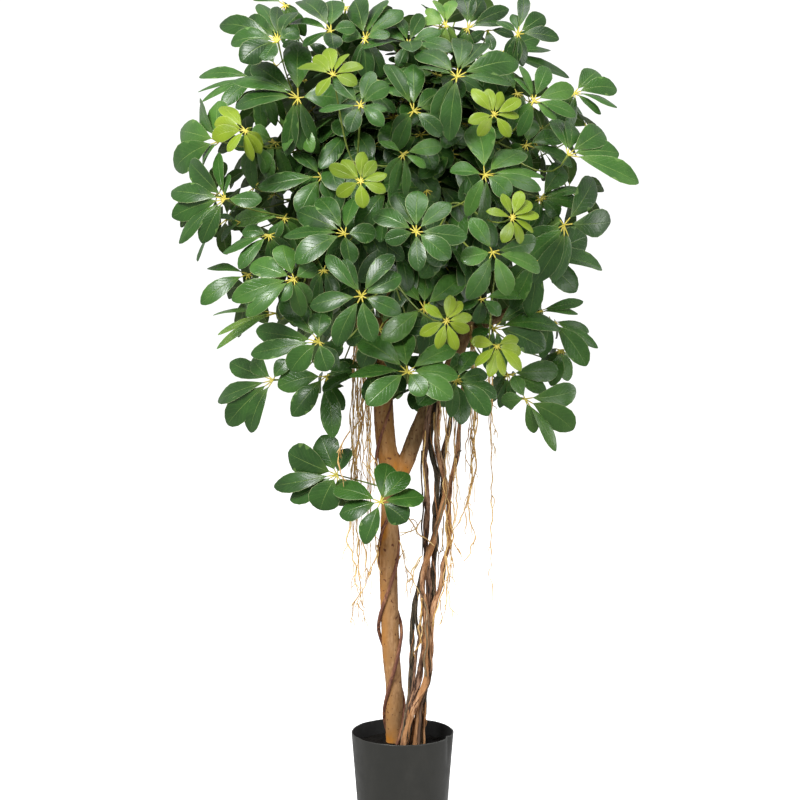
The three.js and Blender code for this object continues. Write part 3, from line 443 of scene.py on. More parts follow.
def wrapped(rings: int, sides: int) -> tuple[Array, Array, Array]:
    """The faces of rings of points joined ring to ring, and fans to two more points that close the ends.

    Args:
        rings: how many rings.
        sides: points to a ring, which runs anticlockwise as seen from the last ring.

    Returns:
        The four-sided faces, the three-sided ones and the UV places, across round the rings and along
        from the first to the last. The points that close the first and last rings follow all others.
    """
    r, k = np.meshgrid(np.arange(rings - 1), np.arange(sides), indexing="ij")
    low, after = r * sides + k, r * sides + (k + 1) % sides
    quads = np.stack([low, after, after + sides, low + sides], axis=-1).reshape(-1, 4)
    side = np.arange(sides)
    last = (rings - 1) * sides
    start = np.stack([np.full(sides, rings * sides), (side + 1) % sides, side], axis=-1)
    end = np.stack([start[:, 0] + 1, last + side, last + start[:, 1]], axis=-1)
    uv = np.stack(np.meshgrid(np.linspace(0, 1, rings), side / sides, indexing="ij"), axis=-1)
    return quads, np.concatenate([start, end]), np.concatenate([uv[..., ::-1].reshape(-1, 2), END_UV])


def tubes(paths: Array, radii: Array, sides: int, reference: Array, slot: int = 0,
          tone: Array | float = 0.5) -> Shape:
    """Closed tubes, worked out together.

    The corner k of a ring is its middle plus the radius times the direction at the turn 2 pi k / sides,
    between a reference direction laid square to the path and the one square to both. A point in the middle
    of each end closes it.

    Args:
        paths: the middles of the rings, as tube, ring, xyz.
        radii: as tube, ring, or as tube, ring, side.
        sides: corners to a ring.
        reference: a direction that no path runs along, one for all or as tube, xyz.
        slot: the material slot.
        tone: the tone of all, or as tube, or as tube, ring, side.

    Returns:
        The shape.
    """
    count, rings = paths.shape[:2]
    tangents = unit(np.gradient(paths, axis=1))
    wide = np.broadcast_to(np.asarray(reference, dtype=float).reshape(-1, 1, 3), tangents.shape)
    first = unit(wide - dot(wide, tangents) * tangents)
    second = np.cross(tangents, first)
    turn = 2 * np.pi * np.arange(sides) / sides
    out = first[:, :, None] * np.cos(turn)[:, None] + second[:, :, None] * np.sin(turn)[:, None]
    thick = radii if radii.ndim == 3 else radii[:, :, None]
    body = (paths[:, :, None] + out * thick[..., None]).reshape(count, rings * sides, 3)
    points = np.concatenate([body, paths[:, :1], paths[:, -1:]], axis=1)
    tones = np.asarray(tone, dtype=float)
    if tones.ndim == 3:
        tones = tones.reshape(count, -1)
        tones = np.concatenate([tones, tones[:, :1], tones[:, -1:]], axis=1)
    return Shape.copied(points, *wrapped(rings, sides), tones, slots=(slot, slot))


def turned(profile: Array, segments: int) -> Shape:
    """A closed solid of revolution.

    Args:
        profile: radii and heights, with the first and last points on the axis.
        segments: points round the axis.

    Returns:
        The shape: each inner point of the profile at the turns 2 pi k / segments, closed at the axis.
    """
    turn = 2 * np.pi * np.arange(segments) / segments
    inner = profile[1:-1]
    ring = np.broadcast_arrays(inner[:, :1] * np.cos(turn), inner[:, :1] * np.sin(turn), inner[:, 1:])
    ends = np.array([[0, 0, profile[0, 1]], [0, 0, profile[-1, 1]]])
    points = np.concatenate([np.stack(ring, axis=-1).reshape(-1, 3), ends])
    return Shape.copied(points[None], *wrapped(len(inner), segments))


# ---- Finishes ----


class Bench:
    """A material while its nodes are laid out."""

    def __init__(self, name: str) -> None:
        """Starts with a shader wired to the output.

        Args:
            name: the material's name.
        """
        self.material = bpy.data.materials.new(name)
        self.material.use_nodes = True
        self.tree = self.material.node_tree
        self.shader = self.tree.nodes["Principled BSDF"]
        self.place = self.tree.nodes.new("ShaderNodeTexCoord").outputs["Object"]

    def feed(self, node: bpy.types.Node, inputs: dict) -> None:
        """Gives a node's inputs what they take.

        Args:
            node: the node.
            inputs: for each input's name or number, a number, a colour or another node's output.
        """
        for key, value in inputs.items():
            if isinstance(value, Socket):
                self.tree.links.new(value, node.inputs[key])
            else:
                node.inputs[key].default_value = value

    def node(self, kind: str, inputs: dict, **settings: object) -> bpy.types.Node:
        """Adds a node.

        Args:
            kind: its kind, as Blender names it after the words ShaderNode.
            inputs: what its inputs take.
            settings: its other settings.

        Returns:
            The node.
        """
        made = self.tree.nodes.new("ShaderNode" + kind)
        for key, value in settings.items():
            setattr(made, key, value)
        self.feed(made, inputs)
        return made

    def attribute(self, name: str) -> Socket:
        """A number kept on the piece's points."""
        return self.node("Attribute", {}, attribute_name=name).outputs["Fac"]

    def across_along(self) -> tuple[Socket, Socket]:
        """The two coordinates of the piece's own UV map."""
        split = self.node("SeparateXYZ", {0: self.node("UVMap", {}, uv_map="grain").outputs["UV"]})
        return split.outputs["X"], split.outputs["Y"]

    def noise(self, scale: float, detail: float = 3, stretch: Numbers = (1, 1, 1), roughness: float = 0.55,
              distortion: float = 0.0) -> Socket:
        """Fractal noise in object space.

        Args:
            scale: cells to a metre.
            detail: how many finer layers it has.
            stretch: along each axis, the larger the more cells.
            roughness: how strong the finer layers are.
            distortion: how far the cells are warped.

        Returns:
            A number that lies about 0.5.
        """
        mapped = self.node("Mapping", {"Vector": self.place, "Scale": stretch}).outputs["Vector"]
        inputs = {"Vector": mapped, "Scale": scale, "Detail": detail, "Roughness": roughness}
        return self.node("TexNoise", inputs | {"Distortion": distortion}).outputs["Fac"]

    def maths(self, operation: str, *values: object) -> Socket:
        """A sum, product or other operation on numbers."""
        return self.node("Math", dict(enumerate(values)), operation=operation).outputs[0]

    def times(self, value: object, factor: object) -> Socket:
        """The product of two numbers."""
        return self.maths("MULTIPLY", value, factor)

    def between(self, value: object, low: float, high: float, to_low: float = 0.0,
                to_high: float = 1.0) -> Socket:
        """A number brought smoothly from one range, low to high, to another."""
        inputs = {"Value": value, "From Min": low, "From Max": high, "To Min": to_low, "To Max": to_high}
        return self.node("MapRange", inputs, interpolation_type="SMOOTHSTEP").outputs["Result"]

    def ramp(self, value: object, stops: list[tuple[float, Colour]]) -> Socket:
        """A colour that changes with a number.

        Args:
            value: the number, from 0 to 1.
            stops: places on it, and their colours.

        Returns:
            The colour.
        """
        made = self.node("ValToRGB", {"Fac": value})
        elements = made.color_ramp.elements
        while len(elements) < len(stops):
            elements.new(0.5)
        for element, (position, colour) in zip(elements, stops):
            element.position = position
            element.color = colour
        return made.outputs["Color"]

    def mixed(self, share: object, a: object, b: object, blend: str = "MIX") -> Socket:
        """A colour between two, by a share."""
        return self.node("Mix", {0: share, 6: a, 7: b}, data_type="RGBA", blend_type=blend).outputs[2]

    def bump(self, height: object, distance: float, strength: float) -> Socket:
        """A normal tilted by a height."""
        inputs = {"Height": height, "Distance": distance, "Strength": strength}
        return self.node("Bump", inputs).outputs["Normal"]

    def finished(self, colour: object, roughness: object, **more: object) -> Material:
        """Feeds the shader.

        Args:
            colour: its base colour.
            roughness: its roughness.
            more: what its other inputs take, each named in small letters with low lines for spaces.

        Returns:
            The material.
        """
        named = {key.replace("_", " ").title().replace("Ior", "IOR"): value for key, value in more.items()}
        self.feed(self.shader, {"Base Color": colour, "Roughness": roughness} | named)
        return self.material


@dataclass(frozen=True)
class LeafFinish:
    """The glossy upper side of a leaflet and its paler underside."""

    name: str
    shades: tuple[Colour, Colour, Colour, Colour]  # from the darkest leaves to the lightest
    rib: Colour
    # the pale edge of the upper side, partly a painted highlight, and the underside's midrib
    rim: Colour
    under: Colour
    gloss: float = 0.27

    def upper(self) -> Material:
        """The upper side: a crease down the middle, faint side veins, a thin pale rim, partly the blade's
        pale edge and partly a painted highlight on it, and a waxy gloss.

        Returns:
            The material.
        """
        b = Bench(self.name)
        across, along = b.across_along()
        side = b.maths("ABSOLUTE", b.maths("SUBTRACT", across, 0.5))
        tone = b.maths("ADD", b.attribute("tone"), b.between(b.noise(30, 3), 0.3, 0.7, -0.09, 0.09))
        colour = b.ramp(tone, list(zip((0.0, 0.4, 0.75, 1.0), self.shades)))
        foot = b.between(along, 0.0, 0.3, 0.3, 0.0)
        colour = b.mixed(foot, colour, self.shades[3])
        slant = b.maths("SUBTRACT", b.times(along, 9.0), b.times(side, 5.0))
        vein = b.between(b.maths("PINGPONG", slant, 0.5), 0.0, 0.10, 1.0, 0.0)
        colour = b.mixed(b.times(vein, 0.07), colour, self.rib)
        width = b.between(along, 0.0, 1.0, 0.022, 0.006)
        rib = b.maths("SUBTRACT", 1.0, b.between(b.maths("DIVIDE", side, width), 0.4, 1.0))
        colour = b.mixed(b.times(rib, 0.5), colour, self.rib)
        # painted highlight, partly: a thin pale line along the blade's edge
        rim = b.between(side, 0.476, 0.496)
        colour = b.mixed(b.times(rim, 0.5), colour, self.rim)
        rough = b.between(b.noise(70, 2), 0.3, 0.7, self.gloss - 0.04, self.gloss + 0.08)
        groove = b.between(side, 0.0, 0.035, 1.0, 0.0)
        sunk = b.maths("ADD", groove, b.times(vein, 0.5))
        height = b.maths("SUBTRACT", b.times(b.noise(120, 2), 0.4), sunk)
        return b.finished(colour, rough, normal=b.bump(height, 0.0005, 0.5), specular_ior_level=0.36)

    def lower(self) -> Material:
        """The underside: paler and duller, with a raised midrib.

        Returns:
            The material.
        """
        b = Bench(self.name + "_underside")
        across, _ = b.across_along()
        side = b.maths("ABSOLUTE", b.maths("SUBTRACT", across, 0.5))
        colour = b.ramp(b.noise(30, 3), [(0.3, self.under), (0.75, self.shades[2])])
        rib = b.between(side, 0.012, 0.03, 1.0, 0.0)
        colour = b.mixed(b.times(rib, 0.5), colour, self.rim)
        return b.finished(colour, 0.5, normal=b.bump(b.maths("ADD", rib, b.noise(120, 2)), 0.0005, 0.5))


@dataclass(frozen=True)
class StalkFinish:
    """A smooth green or golden stalk."""

    name: str
    light: Colour
    dark: Colour
    roughness: float = 0.42

    def made(self) -> Material:
        """Mottles the stalk between its two colours.

        Returns:
            The material.
        """
        b = Bench(self.name)
        colour = b.ramp(b.noise(45, 3, (1, 1, 0.4)), [(0.32, self.dark), (0.68, self.light)])
        return b.finished(colour, self.roughness, normal=b.bump(b.noise(260, 2), 0.0003, 0.4))


@dataclass(frozen=True)
class BarkFinish:
    """Bark whose grooves, kept as the tone, are darker than its ridges."""

    name: str
    groove: Colour
    body: Colour
    ridge: Colour
    patch: Colour
    patches: float = 0.5  # share of the surface that the patches' colour takes
    grain: float = 70  # fine cells to a metre
    stretch: float = 0.3  # along the stem
    roughness: float = 0.8
    relief: float = 0.0008
    contrast: float = 0.25  # of the fine grain

    def skin(self, b: Bench) -> tuple[Socket, Socket]:
        """The colour by the groove, with patches, a drawn-out grain and small dark specks.

        Args:
            b: the bench of the material.

        Returns:
            The colour and the height.
        """
        long = (1, 1, self.stretch)
        fine = b.noise(self.grain * 3, 4, long, 0.65)
        tone = b.maths("ADD", b.attribute("tone"), b.between(fine, 0.35, 0.65, -self.contrast, self.contrast))
        colour = b.ramp(tone, [(0.12, self.groove), (0.45, self.body), (0.85, self.ridge)])
        edge = 0.5 + 0.22 * (0.5 - self.patches)
        patch = b.between(b.noise(self.grain * 0.5, 3, long, 0.6, 0.6), edge - 0.05, edge + 0.07)
        colour = b.mixed(b.times(patch, 0.75), colour, self.patch)
        speck = b.between(b.noise(self.grain * 2.2, 2, (1, 1, 0.7)), 0.69, 0.76)
        colour = b.mixed(b.times(speck, 0.8), colour, self.groove)
        return colour, b.maths("ADD", fine, b.times(b.noise(self.grain * 9, 2), 0.4))

    def made(self) -> Material:
        """Makes the bark rough and a little raised.

        Returns:
            The material.
        """
        b = Bench(self.name)
        colour, height = self.skin(b)
        normal = b.bump(height, self.relief, 0.8)
        return b.finished(colour, self.roughness, normal=normal, specular_ior_level=0.3)


@dataclass(frozen=True)
class TrunkFinish(BarkFinish):
    """Smooth bark with pits. Its UV map keeps how dark the leaders above the fork are, partly for their
    younger wood and partly as painted shade from the crown, and how golden the bark is.
    """

    shade: Colour = (0.56, 0.62, 0.62, 1.0)  # what the colour above the fork is multiplied by: younger wood, and painted shade from the crown
    gold: Colour = srgb(202, 130, 38)
    pit: Colour = srgb(92, 48, 34)

    def made(self) -> Material:
        """Tints the bark's skin by the two shares, and gives it small dark pits.

        Returns:
            The material.
        """
        b = Bench(self.name)
        young, golden = b.across_along()
        colour, height = self.skin(b)
        cloudy = b.between(b.noise(38, 3, (1, 1, 0.6)), 0.35, 0.62, 0.3, 0.9)
        colour = b.mixed(b.times(golden, cloudy), colour, self.gold)
        streaks = b.between(b.noise(150, 3, (1, 1, 0.08)), 0.35, 0.65, 0.7, 1.0)
        # painted shade, partly: the leaders above the fork are darkened for their younger wood and for the
        # crown's shade
        colour = b.mixed(b.times(young, streaks), colour, self.shade, "MULTIPLY")
        pit = b.between(b.noise(185, 0, (1, 1, 0.8)), 0.73, 0.77)
        colour = b.mixed(b.times(pit, 0.8), colour, self.pit)
        height = b.maths("SUBTRACT", height, pit)
        normal = b.bump(height, self.relief, 0.8)
        return b.finished(colour, self.roughness, normal=normal, specular_ior_level=0.3)


@dataclass(frozen=True)
class PlasticFinish:
    """Moulded plastic, a little scuffed."""

    name: str
    colour: Colour
    scuff: Colour
    roughness: float

    def made(self) -> Material:
        """Gives the plastic a fine grain, faint scuffs and a soft sheen.

        Returns:
            The material.
        """
        b = Bench(self.name)
        scuff = b.between(b.noise(14, 5, (1, 1, 0.5), 0.7), 0.45, 0.75, 0.0, 0.6)
        colour = b.mixed(scuff, self.colour, self.scuff)
        rough = b.between(b.noise(55, 3), 0.3, 0.7, self.roughness - 0.08, self.roughness + 0.1)
        return b.finished(colour, rough, normal=b.bump(b.noise(900, 2), 0.0002, 0.35), specular_ior_level=0.6)


@dataclass(frozen=True)
class SoilFinish:
    """Dark crumbly potting soil."""

    name: str
    dark: Colour
    light: Colour

    def made(self) -> Material:
        """Makes dark crumbs with a few lighter fibres.

        Returns:
            The material.
        """
        b = Bench(self.name)
        colour = b.ramp(b.noise(170, 4), [(0.35, self.dark), (0.8, self.light)])
        height = b.maths("ADD", b.noise(260, 4), b.noise(900, 2))
        return b.finished(colour, 0.95, normal=b.bump(height, 0.0015, 0.9), specular_ior_level=0.2)


@dataclass(frozen=True)
class PaperFinish:
    """The pale floor of the studio."""

    name: str
    colour: Colour
    glow: float

    def made(self) -> Material:
        """The material: matt paper with the little light that it passes on."""
        b = Bench(self.name)
        return b.finished(self.colour, 0.9, emission_color=self.colour, emission_strength=self.glow)


class Finish(Enum):
    """The finishes of the plant and its pot."""

    # In each leaf finish the colour after the midrib's is the pale rim, partly a painted highlight on the
    # edge.
    GREEN = LeafFinish("green_leaf_blade", (srgb(31, 57, 24), srgb(56, 95, 37), srgb(82, 122, 50),
        srgb(122, 150, 62)), srgb(146, 172, 90), srgb(196, 208, 150), srgb(92, 120, 56))
    YOUNG = LeafFinish("young_leaf_blade", (srgb(92, 116, 22), srgb(122, 146, 30), srgb(148, 168, 44),
        srgb(180, 188, 78)), srgb(190, 200, 110), srgb(214, 216, 150), srgb(132, 152, 60), 0.34)
    PETIOLULE = StalkFinish("leaflet_stalk", srgb(214, 200, 84), srgb(180, 168, 60))
    STALK = StalkFinish("leaf_stalk", srgb(142, 156, 66), srgb(88, 108, 42))
    STEM = StalkFinish("leafy_stem_skin", srgb(120, 112, 62), srgb(80, 74, 42), 0.6)
    TRUNK = TrunkFinish("trunk_bark_skin", srgb(104, 72, 52), srgb(160, 120, 80), srgb(184, 144, 102),
        srgb(168, 125, 78), 0.4, 70, 0.3, 0.8, 0.0006)
    VINE = BarkFinish("vine_bark_skin", srgb(74, 46, 40), srgb(138, 92, 68), srgb(176, 126, 92),
        srgb(112, 72, 60), 0.5, 120)
    BROWN = BarkFinish("brown_liana_bark", srgb(84, 54, 36), srgb(168, 120, 84), srgb(208, 164, 124),
        srgb(184, 132, 84), 0.4, 90, 0.15, contrast=0.36)
    DARK = BarkFinish("dark_liana_bark", srgb(34, 29, 24), srgb(84, 72, 56), srgb(140, 120, 94),
        srgb(60, 57, 45), 0.4, 90, 0.15, contrast=0.34)
    UMBER = BarkFinish("umber_liana_bark", srgb(50, 37, 30), srgb(122, 90, 70), srgb(166, 130, 104),
        srgb(82, 64, 52), 0.4, 90, 0.15, contrast=0.34)
    PALE = BarkFinish("pale_liana_bark", srgb(84, 68, 50), srgb(162, 130, 98), srgb(202, 174, 140),
        srgb(112, 100, 74), 0.45, 90, 0.15, contrast=0.36)
    ROOT = BarkFinish("aerial_root_skin", srgb(166, 122, 64), srgb(232, 188, 114), srgb(250, 224, 162),
        srgb(214, 176, 120), 0.4, 90, 0.4)
    PLASTIC = PlasticFinish("black_pot_plastic", srgb(44, 44, 40), srgb(58, 57, 52), 0.36)
    # painted shade: the inside of the pot takes a near-black plastic
    INSIDE = PlasticFinish("black_pot_inside", srgb(10, 10, 9), srgb(15, 14, 12), 0.8)
    SOIL = SoilFinish("dark_potting_soil", srgb(9, 7, 5), srgb(24, 19, 13))
    PAPER = PaperFinish("studio_paper", (0.9, 0.9, 0.9, 1.0), 0.85)

    @cache
    def material(self, side: str = "made") -> Material:
        """The finish's material, or that of one of its sides. It is made once."""
        return getattr(self.value, side)()


def placed(piece: Piece, slot: str, *nodes: str) -> Piece:
    """Says which body a piece rides on and which nodes it stands for.

    Args:
        piece: the piece.
        slot: the slot that would give its finish; not used.
        nodes: the nodes that it stands for.

    Returns:
        The same piece.
    """
    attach(piece, "root")
    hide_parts(*nodes)
    LOG.info("%s: %d faces, stands for %s", piece.name, len(piece.data.polygons), ", ".join(nodes))
    return piece


# ---- The wood ----


@dataclass(frozen=True)
class Strand:
    """A tapering length of wood along a curve."""

    path: Array
    radii: Numbers

    @property
    def curve(self) -> Spline:
        """The curve down its middle."""
        return Spline(self.path)

    def tube(self, step: float, sides: int, reference: Array) -> Shape:
        """The strand as a tube.

        Args:
            step: how far its rings lie apart, about.
            sides: corners to a ring.
            reference: a direction that it doesn't run along.

        Returns:
            The shape.
        """
        count = max(4, round(self.curve.length() / step))
        path, places = self.curve.spaced(count)
        return tubes(path[None], values_at(self.radii, places)[None], sides, reference)


def strand(places: Numbers, radii: Numbers) -> Strand:
    """A strand whose path is columns, rows and distances in front, by turns, of the front view."""
    return Strand(VIEW.seen_all(places), radii)


LEFT_LEADER = strand((396, 776, -16, 394.5, 733, -14, 394, 690, -10, 391, 650, -6, 389.5, 610, -2,
    388.5, 560, 0, 390, 515, 0, 392, 480, 0, 386, 444, 0, 383.5, 409, -2, 385, 360, -8, 388, 300, -12,
    385, 255, -10, 390, 205, -8, 391, 150, -4, 396, 95, 0, 400, 45, 0), (15, 14, 13.8, 14.2, 14.6, 14.2, 14.8,
    18, 16, 15.8, 13, 11.5, 10, 9, 7.5, 6.5, 4.5))
RIGHT_LEADER = strand((395, 490, 0, 405.5, 463, -3, 417.5, 431, -8, 430.5, 402, -14, 449, 370, -18,
    464, 336, -22, 474, 290, -30, 478, 240, -34, 470, 190, -30), (12, 13, 12.5, 11.5, 11, 10, 9, 7.5, 6))
BOUGHS = [
    strand((386, 330, -10, 362, 312, -4, 332, 296, 6, 300, 285, 14), (8, 7.5, 6.5, 5)),
    strand((386, 262, -10, 360, 225, -40, 328, 190, -60, 304, 150, -70), (8, 7, 6, 4.5)),
    strand((465, 334, -22, 490, 322, -50, 514, 308, -72, 532, 296, -85), (8, 7, 6, 4.5)),
    strand((476, 275, -32, 500, 235, -80, 515, 190, -110, 515, 140, -120), (7.5, 7, 6, 4.5)),
    strand((390, 205, -8, 408, 180, -20, 422, 160, -26, 440, 110, -30, 452, 70, -30), (7, 7, 6, 5, 4)),
    strand((387, 290, -12, 392, 262, 40, 400, 240, 80, 408, 215, 110), (8, 7, 6, 4.5)),
    strand((387, 305, -12, 380, 280, -70, 372, 240, -130, 375, 190, -160), (8, 7, 6, 4.5)),
]
WOOD = [LEFT_LEADER, RIGHT_LEADER, *BOUGHS]


@dataclass
class Trunk:
    """The forked trunk with its leaders and boughs, grown together as one."""

    voxel: float = 2.0
    ring_step: float = 7
    sides: int = 22
    grown_by: float = 1.0  # makes up for what the smoothing takes off
    swell: float = 0.5  # how far the slow swellings stand out
    relief: float = 0.5  # the bark's own relief
    fork_row: float = 468  # above it the leaders are darker: younger wood, and painted shade from the crown
    fork: tuple[float, float] = (469, 13)  # rows round which the bark is golden, and how far that reaches
    knee: tuple[float, float] = (530, 12)  # the same for the bend under the fork
    flank: tuple[float, float] = (490, 700)  # the golden rows of the left side
    foot_row: float = 722  # below it the foot is golden

    def grown(self) -> Piece:
        """Joins the strands as one skin, then raises the bark on it.

        Returns:
            The trunk.
        """
        thick = [replace(s, radii=tuple(r + self.grown_by for r in s.radii)) for s in WOOD]
        whole = Shape.joined([s.tube(self.ring_step, self.sides, vec(0, 1, 0.3)) for s in thick])
        rough = whole.made("trunk_rough", [])
        remesh = rough.modifiers.new("join", "REMESH")
        remesh.mode = "VOXEL"
        remesh.voxel_size = self.voxel * MM
        smooth = rough.modifiers.new("soften", "SMOOTH")
        smooth.factor = 0.5
        smooth.iterations = 3
        skin = bpy.data.meshes.new_from_object(rough.evaluated_get(bpy.context.evaluated_depsgraph_get()))
        bpy.data.objects.remove(rough)
        faces = np.empty(4 * len(skin.polygons), dtype=np.int64)
        skin.polygons.foreach_get("vertices", faces)
        points = corners_of(skin)
        no_faces = np.empty((0, 3), dtype=np.int64)
        bark = Shape.copied(points[None], faces.reshape(-1, 4), no_faces, np.zeros((len(points), 2)))
        return self.barked(bark).made("trunk_grown", [Finish.TRUNK.material()])

    def barked(self, bark: Shape) -> Shape:
        """Raises slow swellings, long ribs and small bumps, and keeps their height as the tone.

        The UV map keeps two shares. The first is how dark the wood is, partly for younger wood and partly as
        painted shade from the crown: it grows over the height above the fork, most on the right leader. The
        second is how golden it is: near the fork, down the left side and at the foot.

        Args:
            bark: the smooth skin.

        Returns:
            The same shape, raised.
        """
        long = bark.points * np.array([1, 1, 0.2])
        slow = lattice_noise(bark.points * np.array([1, 1, 0.5]), 24, 1)
        ribs = 1 - 2 * np.abs(lattice_noise(long, 8, 2))
        bumps = lattice_noise(bark.points, 4.5, 3)
        bark.tone = np.clip(0.56 + 0.13 * ribs + 0.1 * bumps + 0.08 * slow, 0, 1)
        rows = np.arange(0.0, 800.0, 4)
        heights = np.array([VIEW.seen(VIEW.axis_column, row, 0)[2] for row in rows])
        row = np.interp(bark.points[:, 2], heights[::-1], rows[::-1])
        places = np.linspace(0, 1, 1500)
        line = LEFT_LEADER.curve.at(places)
        here = np.interp(bark.points[:, 2], line[:, 2], places)
        middle = np.interp(bark.points[:, 2], line[:, 2], line[:, 0])
        aside = (bark.points[:, 0] - middle) / values_at(LEFT_LEADER.radii, here)
        # painted shade, partly: the wood above the fork, most on the right leader, gets darker
        above = np.clip((self.fork_row - row) / 26, 0, 1)
        right = np.clip((aside - 1.02) / 0.3, 0, 1)
        dark = above * (0.6 + 0.35 * right)
        fork, knee = (np.exp(-(((row - at) / reach) ** 2)) for at, reach in (self.fork, self.knee))
        knee = knee * np.clip(0.3 - aside, 0, 1)
        flank = np.clip((-aside - 0.1) / 0.6, 0, 1) * np.clip((row - self.flank[0]) / 40, 0, 1)
        flank = flank * np.clip((self.flank[1] - row) / 60, 0.35, 1)
        foot = np.clip((row - self.foot_row) / 18, 0, 1) * np.clip(0.7 - aside, 0, 1)
        golden = np.clip(fork + 0.9 * knee + 0.5 * flank + 0.8 * foot + 0.35 * above * (1 - right), 0, 1)
        bark.uv = np.stack([dark, golden], axis=1)
        return bark.displaced(self.swell * slow + self.relief * ribs + 0.3 * bumps)


@dataclass
class Vines:
    """The two thin vines wound round the trunk, half a turn apart."""

    radius: float = 3.1
    pitch: float = 163  # rows to a turn
    front_rows: tuple[float, float] = (588, 674)  # a row where each crosses the front
    top_row: float = 400
    foot_row: float = 768
    steps: int = 90  # to a turn
    room: float = -0.5  # from the trunk's middle skin to the vine, which is pressed into the bark
    sides: int = 14

    def trunk_at(self, rows: Array) -> tuple[Array, Array]:
        """The trunk's middle line and radius at rows of the front view.

        Args:
            rows: the rows.

        Returns:
            The middles and the radii.
        """
        places = np.linspace(0, 1, 2000)
        line = LEFT_LEADER.curve.at(places)
        heights = np.array([VIEW.seen(VIEW.axis_column, row, 0)[2] for row in rows])
        found = np.interp(heights, line[:, 2], places)
        return LEFT_LEADER.curve.at(found), values_at(LEFT_LEADER.radii, found)

    def path(self, front_row: float) -> Array:
        """A helix round the trunk's middle line: the turn goes a full circle to a pitch, from the front row.

        The vine lies close in front and behind, and stands off a little at the trunk's sides.

        Args:
            front_row: a row where it crosses the front.

        Returns:
            The middles of the vine's rings, from the foot up.
        """
        count = round((self.foot_row - self.top_row) / self.pitch * self.steps)
        rows = np.linspace(self.foot_row, self.top_row, count)
        turn = np.pi / 2 + 2 * np.pi * (rows - front_row) / self.pitch
        middle, radius = self.trunk_at(rows)
        loose = 1.5 * np.abs(np.cos(turn)) ** 3 * (1 + np.sin(rows / 23))
        out = radius + self.radius + self.room + loose
        wander = 1.2 * lattice_noise(np.stack([rows, 0 * rows, 0 * rows], axis=1), 14, front_row)
        return middle + np.stack([out * np.cos(turn), -out * np.sin(turn), wander], axis=1)

    def twined(self) -> list[Piece]:
        """The vines with their ribbed skins.

        Returns:
            The two pieces.
        """
        made = []
        for i, row in enumerate(self.front_rows):
            path = self.path(row)
            share = np.linspace(0, 1, len(path))
            radii = np.interp(share, [0, 0.5, 0.97, 1], [1.05, 1, 0.75, 0.3]) * self.radius
            radii = radii * (1 + 0.12 * lattice_noise(path, 17, 5 + i))
            vine = ribbed(path, radii, self.sides, 4 + i, 0.16)
            made.append(vine.made(f"vine_twined_{i + 1}", [Finish.VINE.material()]))
        return made


def ribbed(path: Array, radii: Array, sides: int, seed: float, depth: float, reference: Array = UP,
           twist: float = 0.0) -> Shape:
    """A strand with wandering ribs along it.

    The radius is multiplied by 1 + depth * (long ribs + fine ribs / 2), where the ribs are noise over the
    turn, as a circle, and over the run along the path, which is drawn out.

    Args:
        path: the middles of the rings.
        radii: the radius at each ring.
        sides: corners to a ring.
        seed: shifts the ribs.
        depth: how deep the ribs are, as a share of the radius.
        reference: a direction that the path doesn't run along.
        twist: how far the ribs turn round the strand for each millimetre, in radians.

    Returns:
        The tube, with the ribs' height as its tone.
    """
    run = np.concatenate([[0], np.cumsum(np.linalg.norm(np.diff(path, axis=0), axis=1))])[:, None]
    turn = 2 * np.pi * np.arange(sides) / sides + twist * run
    circle = np.stack(np.broadcast_arrays(np.cos(turn), np.sin(turn), run), axis=-1)
    coarse = lattice_noise(circle * np.array([1, 1, 0.028]), 0.8, seed)
    fine = lattice_noise(circle * np.array([1, 1, 0.09]), 0.36, seed + 1)
    ribs = coarse + 0.5 * fine
    tone = np.clip(0.5 + 0.42 * ribs, 0, 1)
    return tubes(path[None], (radii[:, None] * (1 + depth * ribs))[None], sides, reference, 0, tone[None])


@dataclass(frozen=True)
class Liana:
    """A woody liana: its way up in the front view, and thinner strands that run beside it."""

    finish: Finish
    girth: float  # against the bundle's radii
    places: Numbers  # columns, rows and distances in front, by turns
    beside: tuple[tuple[float, Finish, Numbers], ...]  # the radius, finish and places of each


